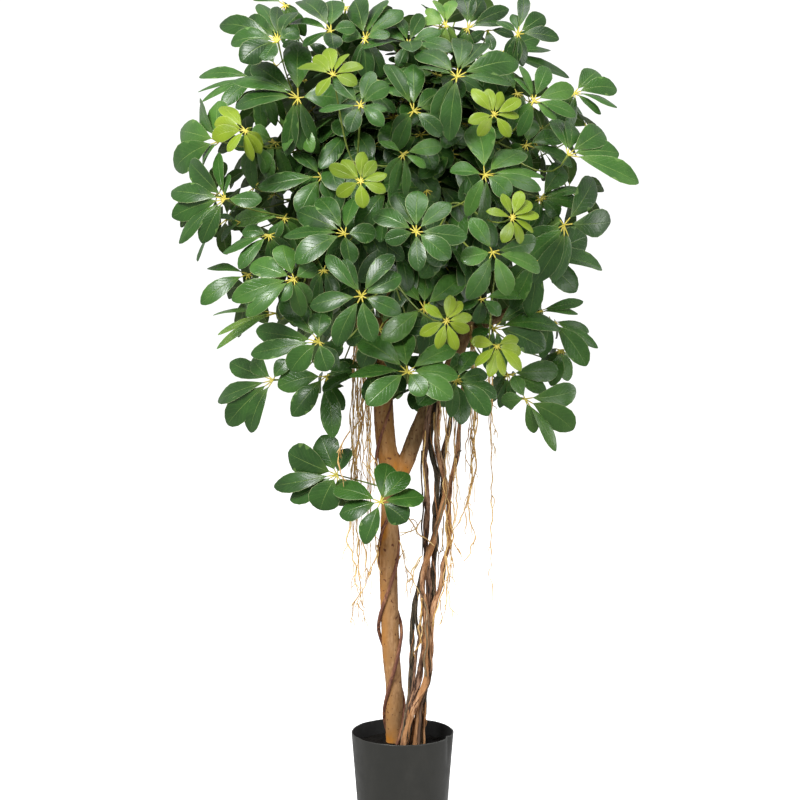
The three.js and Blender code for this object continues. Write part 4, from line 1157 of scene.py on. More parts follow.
LIANAS = [
    Liana(Finish.BROWN, 1, (402, 776, 38, 403.5, 743, 38, 408.5, 725, 37, 413.5, 711, 36, 419, 699, 35,
        424, 686, 34, 426.5, 672, 33, 425, 655, 33, 426, 635, 32, 425.5, 617, 31, 423, 600, 30,
        422.5, 585, 29, 424.5, 569, 28, 428.5, 556, 27, 433, 541, 26, 436, 529, 25, 440.5, 514, 24,
        444.5, 500, 23, 445, 488, 22, 442.5, 474, 20, 439.5, 460, 18, 437, 442, 15, 437.5, 420, 14,
        440, 400, 12, 442, 384, 12), (
        (2.3, Finish.UMBER, (418.5, 776, 30, 419, 743, 30, 419.5, 728, 30, 420.5, 714, 30, 422.5, 702, 30,
            425.5, 690, 30, 428.5, 678, 30, 431.5, 669, 29, 433, 671, 29)),
        (1.5, Finish.PALE, (438, 396, 20, 436, 425, 22, 438, 445, 24, 443, 462, 26, 445, 474, 27,
            448, 486, 27, 446, 498, 27, 443, 507, 28, 440, 518, 29, 436, 532, 30, 437, 545, 22,
            439, 556, 20)),
        (1.2, Finish.ROOT, (446, 440, 22, 446.5, 450, 22, 445, 462, 22, 446, 474, 24, 443, 484, 26,
            446, 495, 27, 449.5, 506, 22, 447, 520, 22, 449.5, 532, 24, 451.5, 545, 24, 449, 558, 24)),
        (1.6, Finish.PALE, (426, 676, 38, 424, 660, 39, 427, 644, 38, 425, 628, 37, 427, 612, 36,
            423, 598, 36)),
    )),
    Liana(Finish.UMBER, 1, (404, 776, 24, 405.5, 743, 25, 408, 726, 25, 411, 710, 24, 414.5, 697, 23,
        418, 682, 22, 420.5, 665, 21, 423.5, 650, 20, 424, 632, 19, 427, 610, 18, 428.5, 590, 16,
        427.5, 570, 15, 426, 550, 15, 426, 530, 15, 427.5, 508, 15, 426.5, 482, 15, 424.8, 455, 15,
        427, 425, 14, 431, 402, 12, 434, 384, 10), (
        (2.5, Finish.BROWN, (411, 776, 16, 411.5, 743, 17, 412.5, 728, 18, 413.5, 714, 18, 415, 702, 16)),
        (2.2, Finish.DARK, (415.5, 776, 12, 416, 743, 12, 417.5, 728, 13, 418.5, 714, 13, 420.5, 702, 14)),
        (1.5, Finish.DARK, (421.5, 450, 12, 421.5, 470, 14, 422, 490, 16, 423.5, 510, 17, 421.5, 525, 18,
            423, 540, 20, 422.5, 556, 20)),
        (1.2, Finish.ROOT, (430, 396, 3, 427, 412, 8, 425.5, 428, 16, 424.5, 445, 21, 423, 462, 21,
            424.5, 480, 21, 426, 497, 21)),
    )),
    Liana(Finish.DARK, 0.84, (403, 776, 13, 404, 740, 13, 406, 722, 13, 407.8, 708, 12, 409.8, 695, 11,
        411.2, 682, 10, 411.8, 668, 10, 412, 650, 9, 411.5, 636, 8, 412.5, 620, 7, 414.5, 606, 6,
        417.5, 592, 4, 421, 578, 2, 426, 562, 0, 432, 545, -1, 437, 525, -1, 440.5, 506, 0, 442, 490, 2,
        443, 476, 4, 442.5, 464, 6, 444, 451, 8, 447.5, 438, 10, 450, 424, 10, 451.5, 405, 9, 452, 384, 8), (
        (2.6, Finish.UMBER, (407, 716, 20, 409, 706, 19, 411.5, 695, 18, 413.5, 682, 16, 415, 668, 15,
            416.5, 655, 14, 418, 645, 13, 420, 630, 12, 421.5, 615, 12, 423, 600, 10, 424, 585, 9)),
        (3.0, Finish.DARK, (421, 572, 8, 418.5, 588, 10, 416.5, 602, 11, 416, 614, 11, 417.5, 628, 11,
            419.5, 640, 11)),
        (1.0, Finish.ROOT, (443, 402, 14, 443.5, 412, 15, 445, 422, 16, 445.5, 431, 16, 447, 438, 16)),
    )),
    Liana(Finish.BROWN, 0.86, (413, 776, 26, 414.5, 743, 26, 416, 728, 26, 418, 715, 25.5, 421, 703, 24.5,
        424.5, 692, 23, 428, 680, 22, 429.8, 668, 21, 430.3, 655, 21.5, 431, 640, 22, 432, 626, 22,
        432.8, 613, 22, 435.2, 602, 22, 439.5, 590, 22, 442, 577, 22, 443.6, 563, 22, 447.5, 550, 21,
        449.3, 536, 20, 449.3, 520, 17, 449, 503, 14, 449.8, 487, 12.5, 452.5, 473, 14, 456, 460, 15,
        458.5, 445, 15, 459.3, 428, 14, 461, 410, 12, 463, 384, 9), (
        (1.2, Finish.PALE, (457, 392, 14, 456.5, 410, 15, 456, 425, 16, 455, 440, 16, 455.5, 455, 17)),
        (1.4, Finish.DARK, (457, 456, 18, 459.5, 452.5, 19, 461.5, 450.5, 20)),
        (1.3, Finish.ROOT, (448, 520, 22, 446.5, 532, 22, 448, 545, 26, 445, 556, 28, 446, 566, 28,
            443, 577, 28, 444, 588, 27, 440, 598, 28, 438, 606, 28, 434, 616, 28, 433, 630, 28)),
        (0.9, Finish.PALE, (443.5, 516, 16, 443.5, 530, 17, 442.5, 541, 18, 443, 550, 18, 439.5, 553, 18,
            438, 562, 18, 438.5, 574, 18, 437.5, 588, 18)),
    )),
    Liana(Finish.DARK, 0.97, (421, 776, 12, 422, 743, 12, 422.8, 728, 12, 424, 712, 12, 424.5, 698, 11,
        426.5, 682, 10, 428, 665, 8, 429, 648, 7, 430.5, 630, 7, 432, 612, 7, 433, 595, 7, 433, 578, 7,
        434, 561, 9, 435.7, 543, 11, 434.5, 524, 12, 435.5, 506, 11, 437.3, 488, 10, 436.3, 472, 9,
        432.5, 457, 8, 430.8, 442, 6, 433, 420, 4, 436, 402, 3, 438.5, 384, 4), (
        (2.2, Finish.BROWN, (424, 776, 20, 424.3, 743, 20, 424.2, 728, 19, 424.8, 712, 19, 425.3, 702, 18)),
        (1.8, Finish.ROOT, (434.5, 412, 10, 434.5, 428, 12, 436, 442, 12, 438, 455, 13, 441, 466, 14,
            442, 478, 14)),
    )),
]


@dataclass
class Bundle:
    """The lianas, each with the thinner strands beside it and threads wound along it."""

    radii: Numbers = (4.8, 4.7, 4.6, 4.5, 4.3, 4.1, 3.8)
    step: float = 2.6  # between rings
    sides: int = 24
    twist: float = 0.02
    thread_girth: tuple[float, float] = (0.9, 1.7)

    def thread(self, path: Array, radii: Array, seed: float) -> Shape:
        """A thin strand wound along a liana.

        Its middle lies on the liana's skin, at a turn that goes round it a few times on its way, and wanders.

        Args:
            path: the liana's middle.
            radii: the liana's radii.
            seed: for its draws.

        Returns:
            The thread.
        """
        share = np.linspace(0, 1, len(path))
        girth = lerp(*self.thread_girth, chance(seed + 0.1))
        turns = lerp(2.5, 6.5, chance(seed)) * (1 if chance(seed + 0.6) > 0.35 else -1)
        turn = 2 * np.pi * (chance(seed + 0.8) + turns * share) + 1.2 * lattice_noise(path, 40, seed)
        out = (radii + 0.35 * girth)[:, None]
        aside = np.stack([np.cos(turn), -np.sin(turn), np.zeros(len(path))], axis=1) * out
        ends = np.interp(share, [0, 0.1, 0.85, 1], [1, 1, 0.8, 0.3])
        return ribbed(path + aside, girth * ends, 8, seed, 0.14, vec(0, 1, 0))

    def beside(self, girth: float, places: Numbers, liana: int, number: int) -> Shape:
        """A thinner strand beside a liana: it wanders a little, and tapers to its end.

        Args:
            girth: its radius.
            places: its way up in the front view.
            liana: the liana's number.
            number: its own number.

        Returns:
            The shape.
        """
        curve = Spline(VIEW.seen_all(places))
        line, share = curve.spaced(max(12, round(curve.length() / self.step)))
        wander = np.stack([lattice_noise(line, 19, number + 5 * liana + axis) for axis in range(3)], axis=1)
        thick = girth * np.interp(share, [0, 0.9, 1], [1, 0.85, 0.35])
        seed = 90 + 7 * liana + number
        return ribbed(line + 0.5 * girth * wander, thick, 12, seed, 0.16, vec(0, 1, 0.2), 3 * self.twist)

    def climbed(self) -> list[Piece]:
        """Each liana as one piece.

        Returns:
            The pieces, in the lianas' order.
        """
        made = []
        for i, liana in enumerate(LIANAS):
            curve = Spline(VIEW.seen_all(liana.places))
            path, places = curve.spaced(round(curve.length() / self.step))
            radii = values_at(self.radii, places) * liana.girth * (1 + 0.1 * lattice_noise(path, 30, i))
            other = Finish.DARK if liana.finish is Finish.BROWN else Finish.BROWN
            winding = (liana.finish, other, liana.finish)
            coats = list(dict.fromkeys([*winding, Finish.ROOT, *(finish for _, finish, _ in liana.beside)]))
            shapes = [ribbed(path, radii, self.sides, 20 + 3 * i, 0.2, vec(0, 1, 0), self.twist)]
            for n, finish in enumerate(winding):
                shapes.append(self.thread(path, radii, 31 * i + 7 * n).slotted(coats.index(finish)))
            for n, (girth, finish, spots) in enumerate(liana.beside):
                shapes.append(self.beside(girth, spots, i, n).slotted(coats.index(finish)))
            materials = [coat.material() for coat in coats]
            made.append(Shape.joined(shapes).made(f"liana_climbed_{i + 1}", materials))
        return made


@dataclass(frozen=True)
class Root:
    """An aerial root that shows by itself, with columns and rows by turns for its way down."""

    radius: float
    forward: float
    spots: Numbers
    free: bool = False  # it starts where it is first seen, and not at the bough


@dataclass(frozen=True)
class RootBunch:
    """A bunch of aerial roots that hang from one place of a bough."""

    bough: tuple[float, float, float]
    roots: tuple[Root, ...]
    finer: int  # roots too fine to tell apart
    spread: float  # how far those hang to the sides, in columns
    foot: tuple[float, float]  # rows between which they end
    twigs: int  # short ones off the roots
    middle: tuple[float, float]  # the column and distance round which the finer ones hang


ROOT_BUNCHES = [
    RootBunch((358, 311, -4), (
        Root(0.7, 14, (352, 396, 351, 410, 350.5, 420, 351, 431, 352, 440, 353, 452, 352.5, 462)),
        Root(1.9, 16, (363, 396, 361, 406, 362.5, 415, 361, 425, 360, 432, 358.5, 440, 357, 450, 356, 460,
            354.5, 468, 354.5, 478, 353.5, 488, 352.6, 500)),
        Root(1.5, 19, (357, 396, 356.5, 408, 359, 414, 361, 418, 356.5, 424, 353, 430, 352, 436, 353, 445,
            355, 454, 353, 463, 351.5, 470, 351, 480, 351, 488, 351.5, 500, 351, 518, 350.5, 526, 348, 534,
            346.5, 541, 349.5, 547, 352.5, 552, 352.5, 560, 356, 565, 357, 572, 354.5, 580, 356.5, 586,
            358.5, 593)),
        Root(1.3, 12, (365, 396, 362, 404, 360, 412, 362, 421, 361, 430, 359, 438, 360, 447, 358, 456,
            355, 463, 357, 470, 356, 480, 356.5, 500, 357, 518, 356, 528, 358, 536, 358, 545, 357.5, 553,
            358.5, 562, 356, 568, 355, 576, 355, 583, 352, 587.5)),
        Root(1.0, 24, (360, 396, 358, 412, 360, 424, 359, 434, 357, 444, 355, 452, 356.5, 461, 354, 470,
            353, 479, 353, 490)),
        Root(0.8, 22, (366, 409, 364, 418, 363, 428, 362, 438, 363, 446, 363.5, 456, 362, 464, 363, 472,
            366, 478, 368, 482)),
        Root(1.1, 66, (350, 431, 346, 437, 342.5, 443, 339.5, 452, 338.5, 462, 340.5, 470, 342, 476,
            346, 481), free=True),
        Root(0.9, 66, (341.5, 444, 339.5, 449, 337, 453), free=True),
        Root(0.8, 20, (359, 540, 359.5, 552, 358, 562, 359, 575, 360, 584, 360, 592, 357, 598, 354, 602,
            352.5, 608, 352, 616, 350.5, 622, 350, 628), free=True),
        Root(1.0, 24, (362, 538, 363.5, 546, 365.5, 552, 365.5, 560, 366, 567, 369, 572, 367, 578, 365.5, 586,
            362, 592, 359.5, 597, 357, 602, 355, 607), free=True),
        Root(0.5, 22, (362, 587, 363, 596, 362.5, 604, 363, 612, 366, 620, 369, 627), free=True),
        Root(0.5, 22, (357, 603, 360, 608, 363, 611), free=True),
        Root(0.5, 21, (360.5, 592, 361, 600, 363, 606, 366, 608), free=True),
    ), finer=9, spread=6, foot=(470, 600), twigs=26, middle=(357, 16)),
    RootBunch((379, 325, -8), (
        Root(0.9, 26, (370, 404, 369, 416, 370.5, 424, 369.5, 432, 370.5, 440, 369.5, 447, 372, 455,
            375.5, 460, 378.5, 466, 380, 474)),
        Root(0.8, 28, (367, 404, 366, 420, 367.5, 430, 367, 440, 366, 448, 362.5, 452)),
        Root(0.7, 24, (370, 448, 368.5, 462, 370, 472, 372.5, 480, 374, 486, 373, 492), free=True),
        Root(0.5, 24, (363, 462, 367, 468, 370, 474, 374, 480, 373, 485), free=True),
        Root(0.8, 30, (375, 520, 376, 541, 376, 548, 377, 555, 375, 560, 371.5, 566, 370, 573, 367, 578),
            free=True),
        Root(0.7, 18, (377, 545, 378.5, 553, 377.5, 560, 379, 568, 380.5, 574), free=True),
    ), finer=6, spread=4, foot=(460, 600), twigs=12, middle=(369, 26)),
    RootBunch((470, 318, -24), (
        Root(1.3, 14, (476, 405, 473.5, 421, 474, 430, 475, 438, 473.5, 448, 472, 456, 471.5, 464, 472, 472,
            471.5, 480, 470, 488, 468.5, 496, 466.5, 504, 464.5, 512, 461.5, 517, 459.5, 522, 457, 526,
            454, 529, 451, 533)),
        Root(0.6, 10, (471.5, 405, 470, 420, 468, 430, 467.5, 438, 465.5, 444, 466, 452, 465.5, 458, 468, 463,
            471, 468, 472.5, 476, 472, 484)),
        Root(1.1, 18, (477, 405, 477, 424, 475, 434, 473, 442, 473.5, 452, 476, 460, 476, 468, 474, 476,
            472, 484, 470, 494, 468.5, 503, 469.5, 512, 470, 520, 472, 526, 474, 533, 475, 538, 473, 543,
            470.5, 546, 470.5, 553, 467, 558, 463.5, 561.5)),
        Root(1.0, 15, (474, 405, 475.5, 418, 474, 428, 471, 434, 472.5, 443, 474.5, 450, 472.5, 460, 471, 470,
            473, 478, 470.5, 486, 469, 493, 467, 500, 466.5, 508)),
        Root(0.5, 12, (471, 428, 470, 440, 471, 448, 470.5, 456), free=True),
        Root(0.6, 14, (465, 512, 466, 518, 466, 524, 464.5, 530, 465, 534), free=True),
    ), finer=5, spread=3, foot=(430, 520), twigs=12, middle=(472, 14)),
    RootBunch((493, 320.5, -53), (
        Root(0.7, 6, (490, 398, 491, 408, 489.5, 416, 489, 428)),
        Root(0.7, 10, (489, 398, 491, 408, 492.5, 416, 493, 424, 495, 430, 494, 435)),
        Root(0.5, 10, (494.5, 429, 496.8, 432), free=True),
        Root(0.9, 8, (492, 398, 491, 420, 490.5, 430, 491, 438, 492, 446, 491.5, 456, 491.5, 466, 492.5, 473,
            492.5, 481, 491, 488, 491.5, 496, 490.5, 503, 492, 509, 492.5, 515, 492.5, 520, 490.5, 526,
            490.8, 535, 490.5, 544, 491.5, 552, 491, 560, 491.5, 566, 489, 571, 488.5, 576)),
        Root(0.6, 9, (491.5, 495, 494.3, 499, 494, 504, 492, 509), free=True),
        Root(0.5, 8, (493, 443, 495, 450, 494, 456), free=True),
        Root(0.4, 8, (489.5, 577, 492.5, 585, 493, 592), free=True),
    ), finer=1, spread=2, foot=(440, 520), twigs=5, middle=(491, 8)),
    RootBunch((453, 362, -18), (
        Root(1.0, 24, (440, 400, 441, 414, 439.5, 424, 439, 434, 440, 440, 438, 444)),
        Root(0.6, 22, (446, 400, 446.5, 412, 445.5, 421)),
        Root(0.7, 28, (448, 436, 447, 452, 447, 460, 448, 467), free=True),
        Root(0.8, 22, (456, 458, 456.5, 476, 457, 486, 457, 494, 455.5, 499, 457, 505, 456.5, 516, 454, 523,
            452, 528), free=True),
        Root(0.7, 20, (450, 500, 453, 505, 453.5, 514, 454, 520, 452.5, 526), free=True),
        Root(1.1, 24, (446, 498, 445, 508, 446.5, 518, 445, 528, 447, 536, 447, 546, 445.5, 556), free=True),
        Root(1.1, 26, (451, 515, 451, 527, 453.5, 536, 451.5, 545, 451, 555, 453, 563, 453.5, 568),
            free=True),
        Root(0.9, 24, (450, 540, 451, 556, 450.5, 566, 450, 574, 448.5, 582, 447, 590), free=True),
        Root(1.4, 28, (446, 556, 448, 570, 447.5, 580, 446, 588, 447, 596, 446.5, 602), free=True),
        Root(0.6, 28, (446.5, 600, 445, 610, 443.5, 616), free=True),
        Root(0.6, 28, (448, 590, 450, 600, 450.5, 608, 454, 611.5, 458.5, 615), free=True),
        Root(0.7, 24, (440.5, 600, 441, 612, 442, 618, 441, 623, 438.5, 625.5), free=True),
        Root(0.6, 24, (454, 543, 457.5, 550, 460.5, 555), free=True),
        Root(0.6, 20, (442, 528, 443, 540, 442, 548, 438.5, 556), free=True),
        Root(1.1, 38, (408.5, 518, 413, 524, 416, 530, 420, 535.5, 425, 538, 430, 542.5, 434, 546),
            free=True),
        Root(0.7, 38, (421, 520, 417, 527, 414, 530, 408, 532, 400, 532.5), free=True),
        Root(0.6, 36, (411, 519, 415, 520.5, 417, 526, 416, 532, 418, 535), free=True),
        Root(0.6, 22, (408, 532, 404, 534, 400, 536), free=True),
        Root(1.0, 32, (422, 556, 418, 560, 416, 565, 412, 570, 411, 574, 413, 578, 409, 581, 406.5, 584,
            407, 589, 404.5, 594), free=True),
        Root(0.9, 30, (420, 560, 417, 566, 413.5, 571, 413, 577, 414.5, 583, 417, 588, 420, 594), free=True),
        Root(0.6, 20, (399, 540, 401, 545, 402, 552, 403.5, 560, 405, 567, 407, 575, 406.5, 584), free=True),
        Root(0.6, 24, (405, 567, 409, 572, 412, 576, 412.5, 584, 410.5, 591, 413, 598), free=True),
        Root(0.8, 8, (398.5, 560, 402, 554, 405, 550), free=True),
        Root(1.1, 40, (421.5, 598, 421, 612, 420.5, 622, 418, 627, 419.5, 634, 420, 641, 417, 648, 414, 653,
            414.5, 658), free=True),
        Root(0.6, 40, (420, 622, 422, 630, 420.5, 640), free=True),
    ), finer=5, spread=5, foot=(450, 560), twigs=14, middle=(450, 24)),
]


@dataclass
class AerialRoots:
    """The aerial roots: those that show by themselves, and finer ones among them."""

    rings: int = 40
    step: float = 4  # between the rings of a root that shows
    kink: float = 0.8  # how far the roots' small kinks reach
    twig_share: float = 2.4  # twigs, against the bunch's number

    def kinked(self, paths: Array, seeds: Array, amount: float) -> Array:
        """Paths with small kinks: noise over the height, at two scales, moves them aside.

        Args:
            paths: as root, ring, xyz.
            seeds: one for each root.
            amount: how far they are moved, which is nothing at the top.

        Returns:
            The paths.
        """
        depth = np.minimum(np.arange(paths.shape[1]) / 6, 1)[:, None]
        height = paths[..., 2]
        base = np.stack([np.broadcast_to(seeds[:, None] * 57.3, height.shape), height, 0 * height], axis=-1)
        x = lattice_noise(base, 9, 1) + 1.3 * lattice_noise(base, 31, 2)
        y = lattice_noise(base, 9, 3) + 3.5 * lattice_noise(base, 44, 4)
        return paths + amount * depth * np.stack([x, y, 0 * height], axis=-1)

    def shown(self, bunch: RootBunch, root: Root, seed: float) -> tuple[Array, Shape]:
        """A root that shows by itself: it comes down from the bough, knotty and thinner to its end.

        Args:
            bunch: its bunch.
            root: the root.
            seed: for its kinks and knots.

        Returns:
            Its middle and its shape.
        """
        spots = np.reshape(root.spots, (-1, 2))
        places = [(*spot, root.forward) for spot in spots]
        if not root.free:
            column, row = spots[0]
            between = (lerp(bunch.bough[0], column, 0.7), lerp(bunch.bough[1], row, 0.4), 0.8 * root.forward)
            places = [bunch.bough, between, *places]
        curve = Spline(VIEW.seen_all(places))
        path, share = curve.spaced(max(8, round(curve.length() / self.step)))
        path = self.kinked(path[None], np.array([seed]), self.kink)[0]
        knots = 1 + 0.35 * lattice_noise(path, 7, seed) + 0.25 * lattice_noise(path, 2.5, seed + 1)
        radii = (0.5 + 0.72 * root.radius) * np.interp(share, [0, 0.7, 1], [1.05, 0.95, 0.55]) * knots
        tone = np.full((1, len(path), 6), 0.25 + 0.55 * chance(seed + 0.5)) + 0.5 * (knots - 1)[None, :, None]
        return path, tubes(path[None], radii[None], 6, vec(0, 1, 0.1), 0, np.clip(tone, 0, 1))

    def finer(self, bunch: RootBunch, number: int) -> Array:
        """The middles of the finer roots.

        Each leaves the bough, moves aside by a smooth step over the first part of its way, and hangs
        straight down to a height drawn from its range.

        Args:
            bunch: the bunch.
            number: the bunch's number.

        Returns:
            The middles, as root, ring, xyz.
        """
        n = np.arange(bunch.finer) + 100.0 * number
        start = VIEW.seen(*bunch.bough)
        low, high = (VIEW.seen(VIEW.axis_column, row, 20)[2] for row in bunch.foot)
        foot = low + (high - low) * chances(n + 0.31)
        middle = VIEW.seen(bunch.middle[0], bunch.foot[0], bunch.middle[1])
        reach = bunch.spread * VIEW.step
        across, deep = 2 * chances(n + 0.57) - 1, 2 * chances(n + 0.73) - 1
        aside = np.stack([reach * across, 1.6 * reach * deep], axis=1)
        share = np.linspace(0, 1, self.rings)
        bend = np.clip(share / 0.3, 0, 1)
        bend = bend * bend * (3 - 2 * bend)
        level = start[None, None, :2] + (middle[:2] - start[:2] + aside)[:, None] * bend[:, None]
        height = start[2] + (foot - start[2])[:, None] * share
        return self.kinked(np.concatenate([level, height[..., None]], axis=-1), n, 1.6)

    def twigs(self, starts: Array, count: int, number: int) -> Array:
        """The middles of short twigs, which leave the roots to one side and then turn down.

        Args:
            starts: the places where twigs can leave the roots.
            count: how many twigs.
            number: the bunch's number.

        Returns:
            The middles, as twig, ring, xyz.
        """
        n = np.arange(count) + 500.0 + 100 * number
        start = starts[(chances(n) * len(starts)).astype(int)]
        turn = 2 * np.pi * chances(n + 0.4)
        reach = lerp(3, 11, chances(n + 0.6))
        drop = lerp(6, 30, chances(n + 0.8))
        share = np.linspace(0, 1, 12)
        out = np.sin(np.pi / 2 * share) * reach[:, None]
        down = -drop[:, None] * share**1.5
        paths = np.stack([np.cos(turn)[:, None] * out, np.sin(turn)[:, None] * out, down], axis=-1)
        return self.kinked(start[:, None] + paths, n, 1.0)

    def hung(self) -> list[Piece]:
        """Each bunch as one piece.

        Returns:
            The pieces, in the bunches' order.
        """
        made = []
        for i, bunch in enumerate(ROOT_BUNCHES):
            shown = [self.shown(bunch, root, 3.1 * n + 40 * i + 1) for n, root in enumerate(bunch.roots)]
            fine = self.finer(bunch, i)
            draw = chances(np.arange(len(fine)) + 7.7 * i)
            taper = np.interp(np.linspace(0, 1, self.rings), [0, 0.1, 1], [1.1, 0.95, 0.5])
            radii = (0.65 + 0.4 * draw)[:, None] * taper
            knots = np.concatenate([path[len(path) // 5:-2] for path, _ in shown])
            sprigs = self.twigs(knots, round(self.twig_share * bunch.twigs), i)
            thin = np.broadcast_to(np.linspace(0.8, 0.45, sprigs.shape[1]), sprigs.shape[:2])
            light = 0.35 + 0.5 * chances(np.arange(len(sprigs)) + 0.9)
            shapes = [shape for _, shape in shown]
            shapes.append(tubes(fine, radii, 5, vec(0, 1, 0), 0, 0.2 + 0.6 * draw))
            shapes.append(tubes(sprigs, thin, 4, vec(0, 0.9, 0.3), 0, light))
            made.append(Shape.joined(shapes).made(f"roots_hung_{i + 1}", [Finish.ROOT.material()]))
        return made


# ---- The leaves ----


class Kind(Enum):
    """Where a leaf grows and how old it is."""

    CROWN = auto()
    LOW = auto()
    YOUNG = auto()
    INNER = auto()


@dataclass(frozen=True)
class LeafRow:
    """A leaf of the front view: columns and rows by turns, of its hub and then of each leaflet's tip."""

    spots: Numbers
    olive: bool = False
    forward: float | None = None  # in front of the pot's axis, for a leaf under the crown
    tall: float | None = None  # how tall it looks against its width, where the tips don't tell
    whole: bool = False  # has no leaflets but those that show
    slim: float = 1  # how wide its blades are, against the usual
    kind: Kind = Kind.CROWN
    number: int = 0
    seed: int = 0

    @property
    def tips(self) -> Array:
        """The columns and rows of the tips."""
        return np.reshape(self.spots[2:], (-1, 2))


def palm(*spots: float, **more: object) -> LeafRow:
    """A row of the tables below, named for its leaf's palm-like shape."""
    return LeafRow(spots, **more)


FRONT_LEAVES = [
    palm(278, 41, 215, 23, 231, 43, 247, 19, 257, 0, 278, 6, 296, 12, 298, 31, 264, 61, 241, 62),
    palm(331, 31, 301, 0, 289, 24, 331, 0, 353, 28, 303, 47, 333, 43),
    palm(365, 39, 354, 0, 385, 0, 402, 10, 347, 36, 386, 34),
    palm(345, 7, 330, -20),
    palm(301, 109, 229, 89, 256, 75, 239, 118, 302, 53, 346, 111, tall=0.92),
    palm(300, 126, 286, 156, 314, 157),
    palm(360, 117, 304, 129, 326, 83, 376, 74, 400, 95, 346, 159, 392, 150, 397, 128),
    palm(254, 144, 272, 179),
    palm(273, 138, 250, 126, 231, 142, 262, 170),
    palm(219.6, 141, 200, 103, 218, 101, 175, 129, 162, 157, 173, 169, 203, 167, whole=True),
    palm(322, 177, 259, 187, 300, 215, 332, 200, 296, 152),
    palm(225, 199, 171.5, 191, 190, 163, 218, 153, 229, 175, 172, 217, 179, 243, 202, 243, 262, 199),
    palm(258, 80, 214, 69, 197, 76, 198, 92, 202, 102, 222, 107, slim=0.75),
    palm(285, 5, 250, -8),
    palm(408.5, 44, 398, 16, 423, 15, 385, 28, 441, 31, 398, 67),
    palm(446, 25, 434, 0, 453, 0, 422, 22, 426, 9, olive=True),
    palm(468, 28, 462, -4, 483, -2, 509, 9, 503, 24),
    palm(518, 34, 523, -4, 544, 15, 559, 39, 512, 14, 502, 23),
    palm(499, 54, 540, 36, 550, 50, 570, 78),
    palm(457, 77, 416, 51, 418, 67, 460, 35, 488, 37, 521, 60, 511, 84),
    palm(413.5, 111, 388, 64, 413, 64, 441, 92, 462, 103, 464, 134, 442, 136),
    palm(517, 93, 500, 70),
    palm(533.6, 101, 514, 77, 521, 66, 548, 67, 574, 89, 576, 116, 557, 119),
    palm(574, 93, 597, 71, 617, 89, 617, 107, 601, 114),
    palm(568, 155, 553, 119, 570, 122, 583, 117, 603, 131, 619, 153, 625, 164, 643, 184, 640, 196,
        whole=True),
    palm(526, 145, 531, 119, 562, 139, 572, 167),
    palm(484.5, 175, 475, 124, 450, 172, 544, 177, 541, 190, 510, 197, 523, 151),
    palm(403, 154, 380, 141, 442, 146, 422, 165),
    palm(425.5, 194, 398, 166, 441, 160, 370, 193),
    palm(540, 199, 564, 168, 580, 188, 579, 204, 553, 212),
    palm(284, 218, 273, 241, 232, 222),
    palm(269, 235, 223, 253, 239, 269, 242, 232),
    palm(344.8, 234, 284, 236, 297, 211, 319, 198, 356, 196, 376, 236, 351, 265, 296, 263),
    palm(361.4, 296, 326, 256, 345, 258, 394, 255, 401, 276, 310, 306, 337, 346, 374, 341, 401, 313),
    palm(248, 274, 208, 268, 216, 287, 201, 304, slim=0.85),
    palm(294, 279, 252, 263, 283, 245, 232, 300, 246, 316, 281, 299, 312, 268),
    palm(324, 270, 335, 300),
    palm(276, 313, 213, 315, 218, 335, 217, 349, olive=True, tall=0.6, whole=True, slim=0.65),
    palm(319, 342, 284, 297, 256, 331, 251, 354, 291, 371, 328, 371, 322, 313),
    palm(273, 380, 230, 362, 214, 401, 219, 432, 250, 432, 253, 358, 286, 361, whole=True),
    palm(326, 376, 278, 387, 292, 416, 333, 438, 344, 410, 352, 371),
    palm(416, 232, 373, 214, 394, 194, 419, 191, 450, 203, 467, 237, 450, 259, 419, 271, 385, 240),
    palm(492.5, 252, 471, 218, 460, 259, 467, 299, 509, 295, 540, 271, 536, 242),
    palm(535, 259, 556, 211, 592, 234, 604, 269, 576, 292),
    palm(564, 225, 594, 179, 605, 190, 611, 222, 629, 239, 617, 253),
    palm(481, 299, 470, 275, 523, 297, 495, 311, 464, 306),
    palm(424, 308, 394, 269, 427, 268, 462, 277, 382, 341),
    palm(494, 328, 542, 296, 560, 329, 545, 350, 478, 336, 465, 309),
    palm(537, 312, 583, 301, 578, 314),
    palm(551, 321, 589, 332, 598, 348, 586, 366),
    palm(407.5, 372, 361, 340, 401, 337, 455, 347, 350, 376, 367, 405, 424, 396, 452, 399, 458, 377),
    palm(525, 399, 503, 402, 514, 376, 576, 390, 573, 430, 556, 451, 534, 433),
    palm(456, 380, 488, 416, 497, 397, 487, 374, 476, 352),
    palm(509, 373, 559, 370, 547, 390),
    palm(560, 350, 568, 381, 551, 386),
    palm(276, 66, 244, 72, 262, 48, 294, 58, whole=True),
    palm(306, 44, 284, 46, 300, 64, 328, 54, whole=True),
    palm(488, 30, 470, 42, 492, 48, 514, 36, whole=True),
    palm(240, 222, 214, 216, 222, 242, whole=True),
]
LOW_LEAVES = [
    palm(337.6, 475, 322, 436, 289, 453, 275, 486, 291, 500, 321, 510, 346, 449, forward=62),
    palm(381, 503, 387.5, 465, 407, 474, 424, 498, 407, 523, 365, 545, 340, 515, 334, 490, forward=78),
]
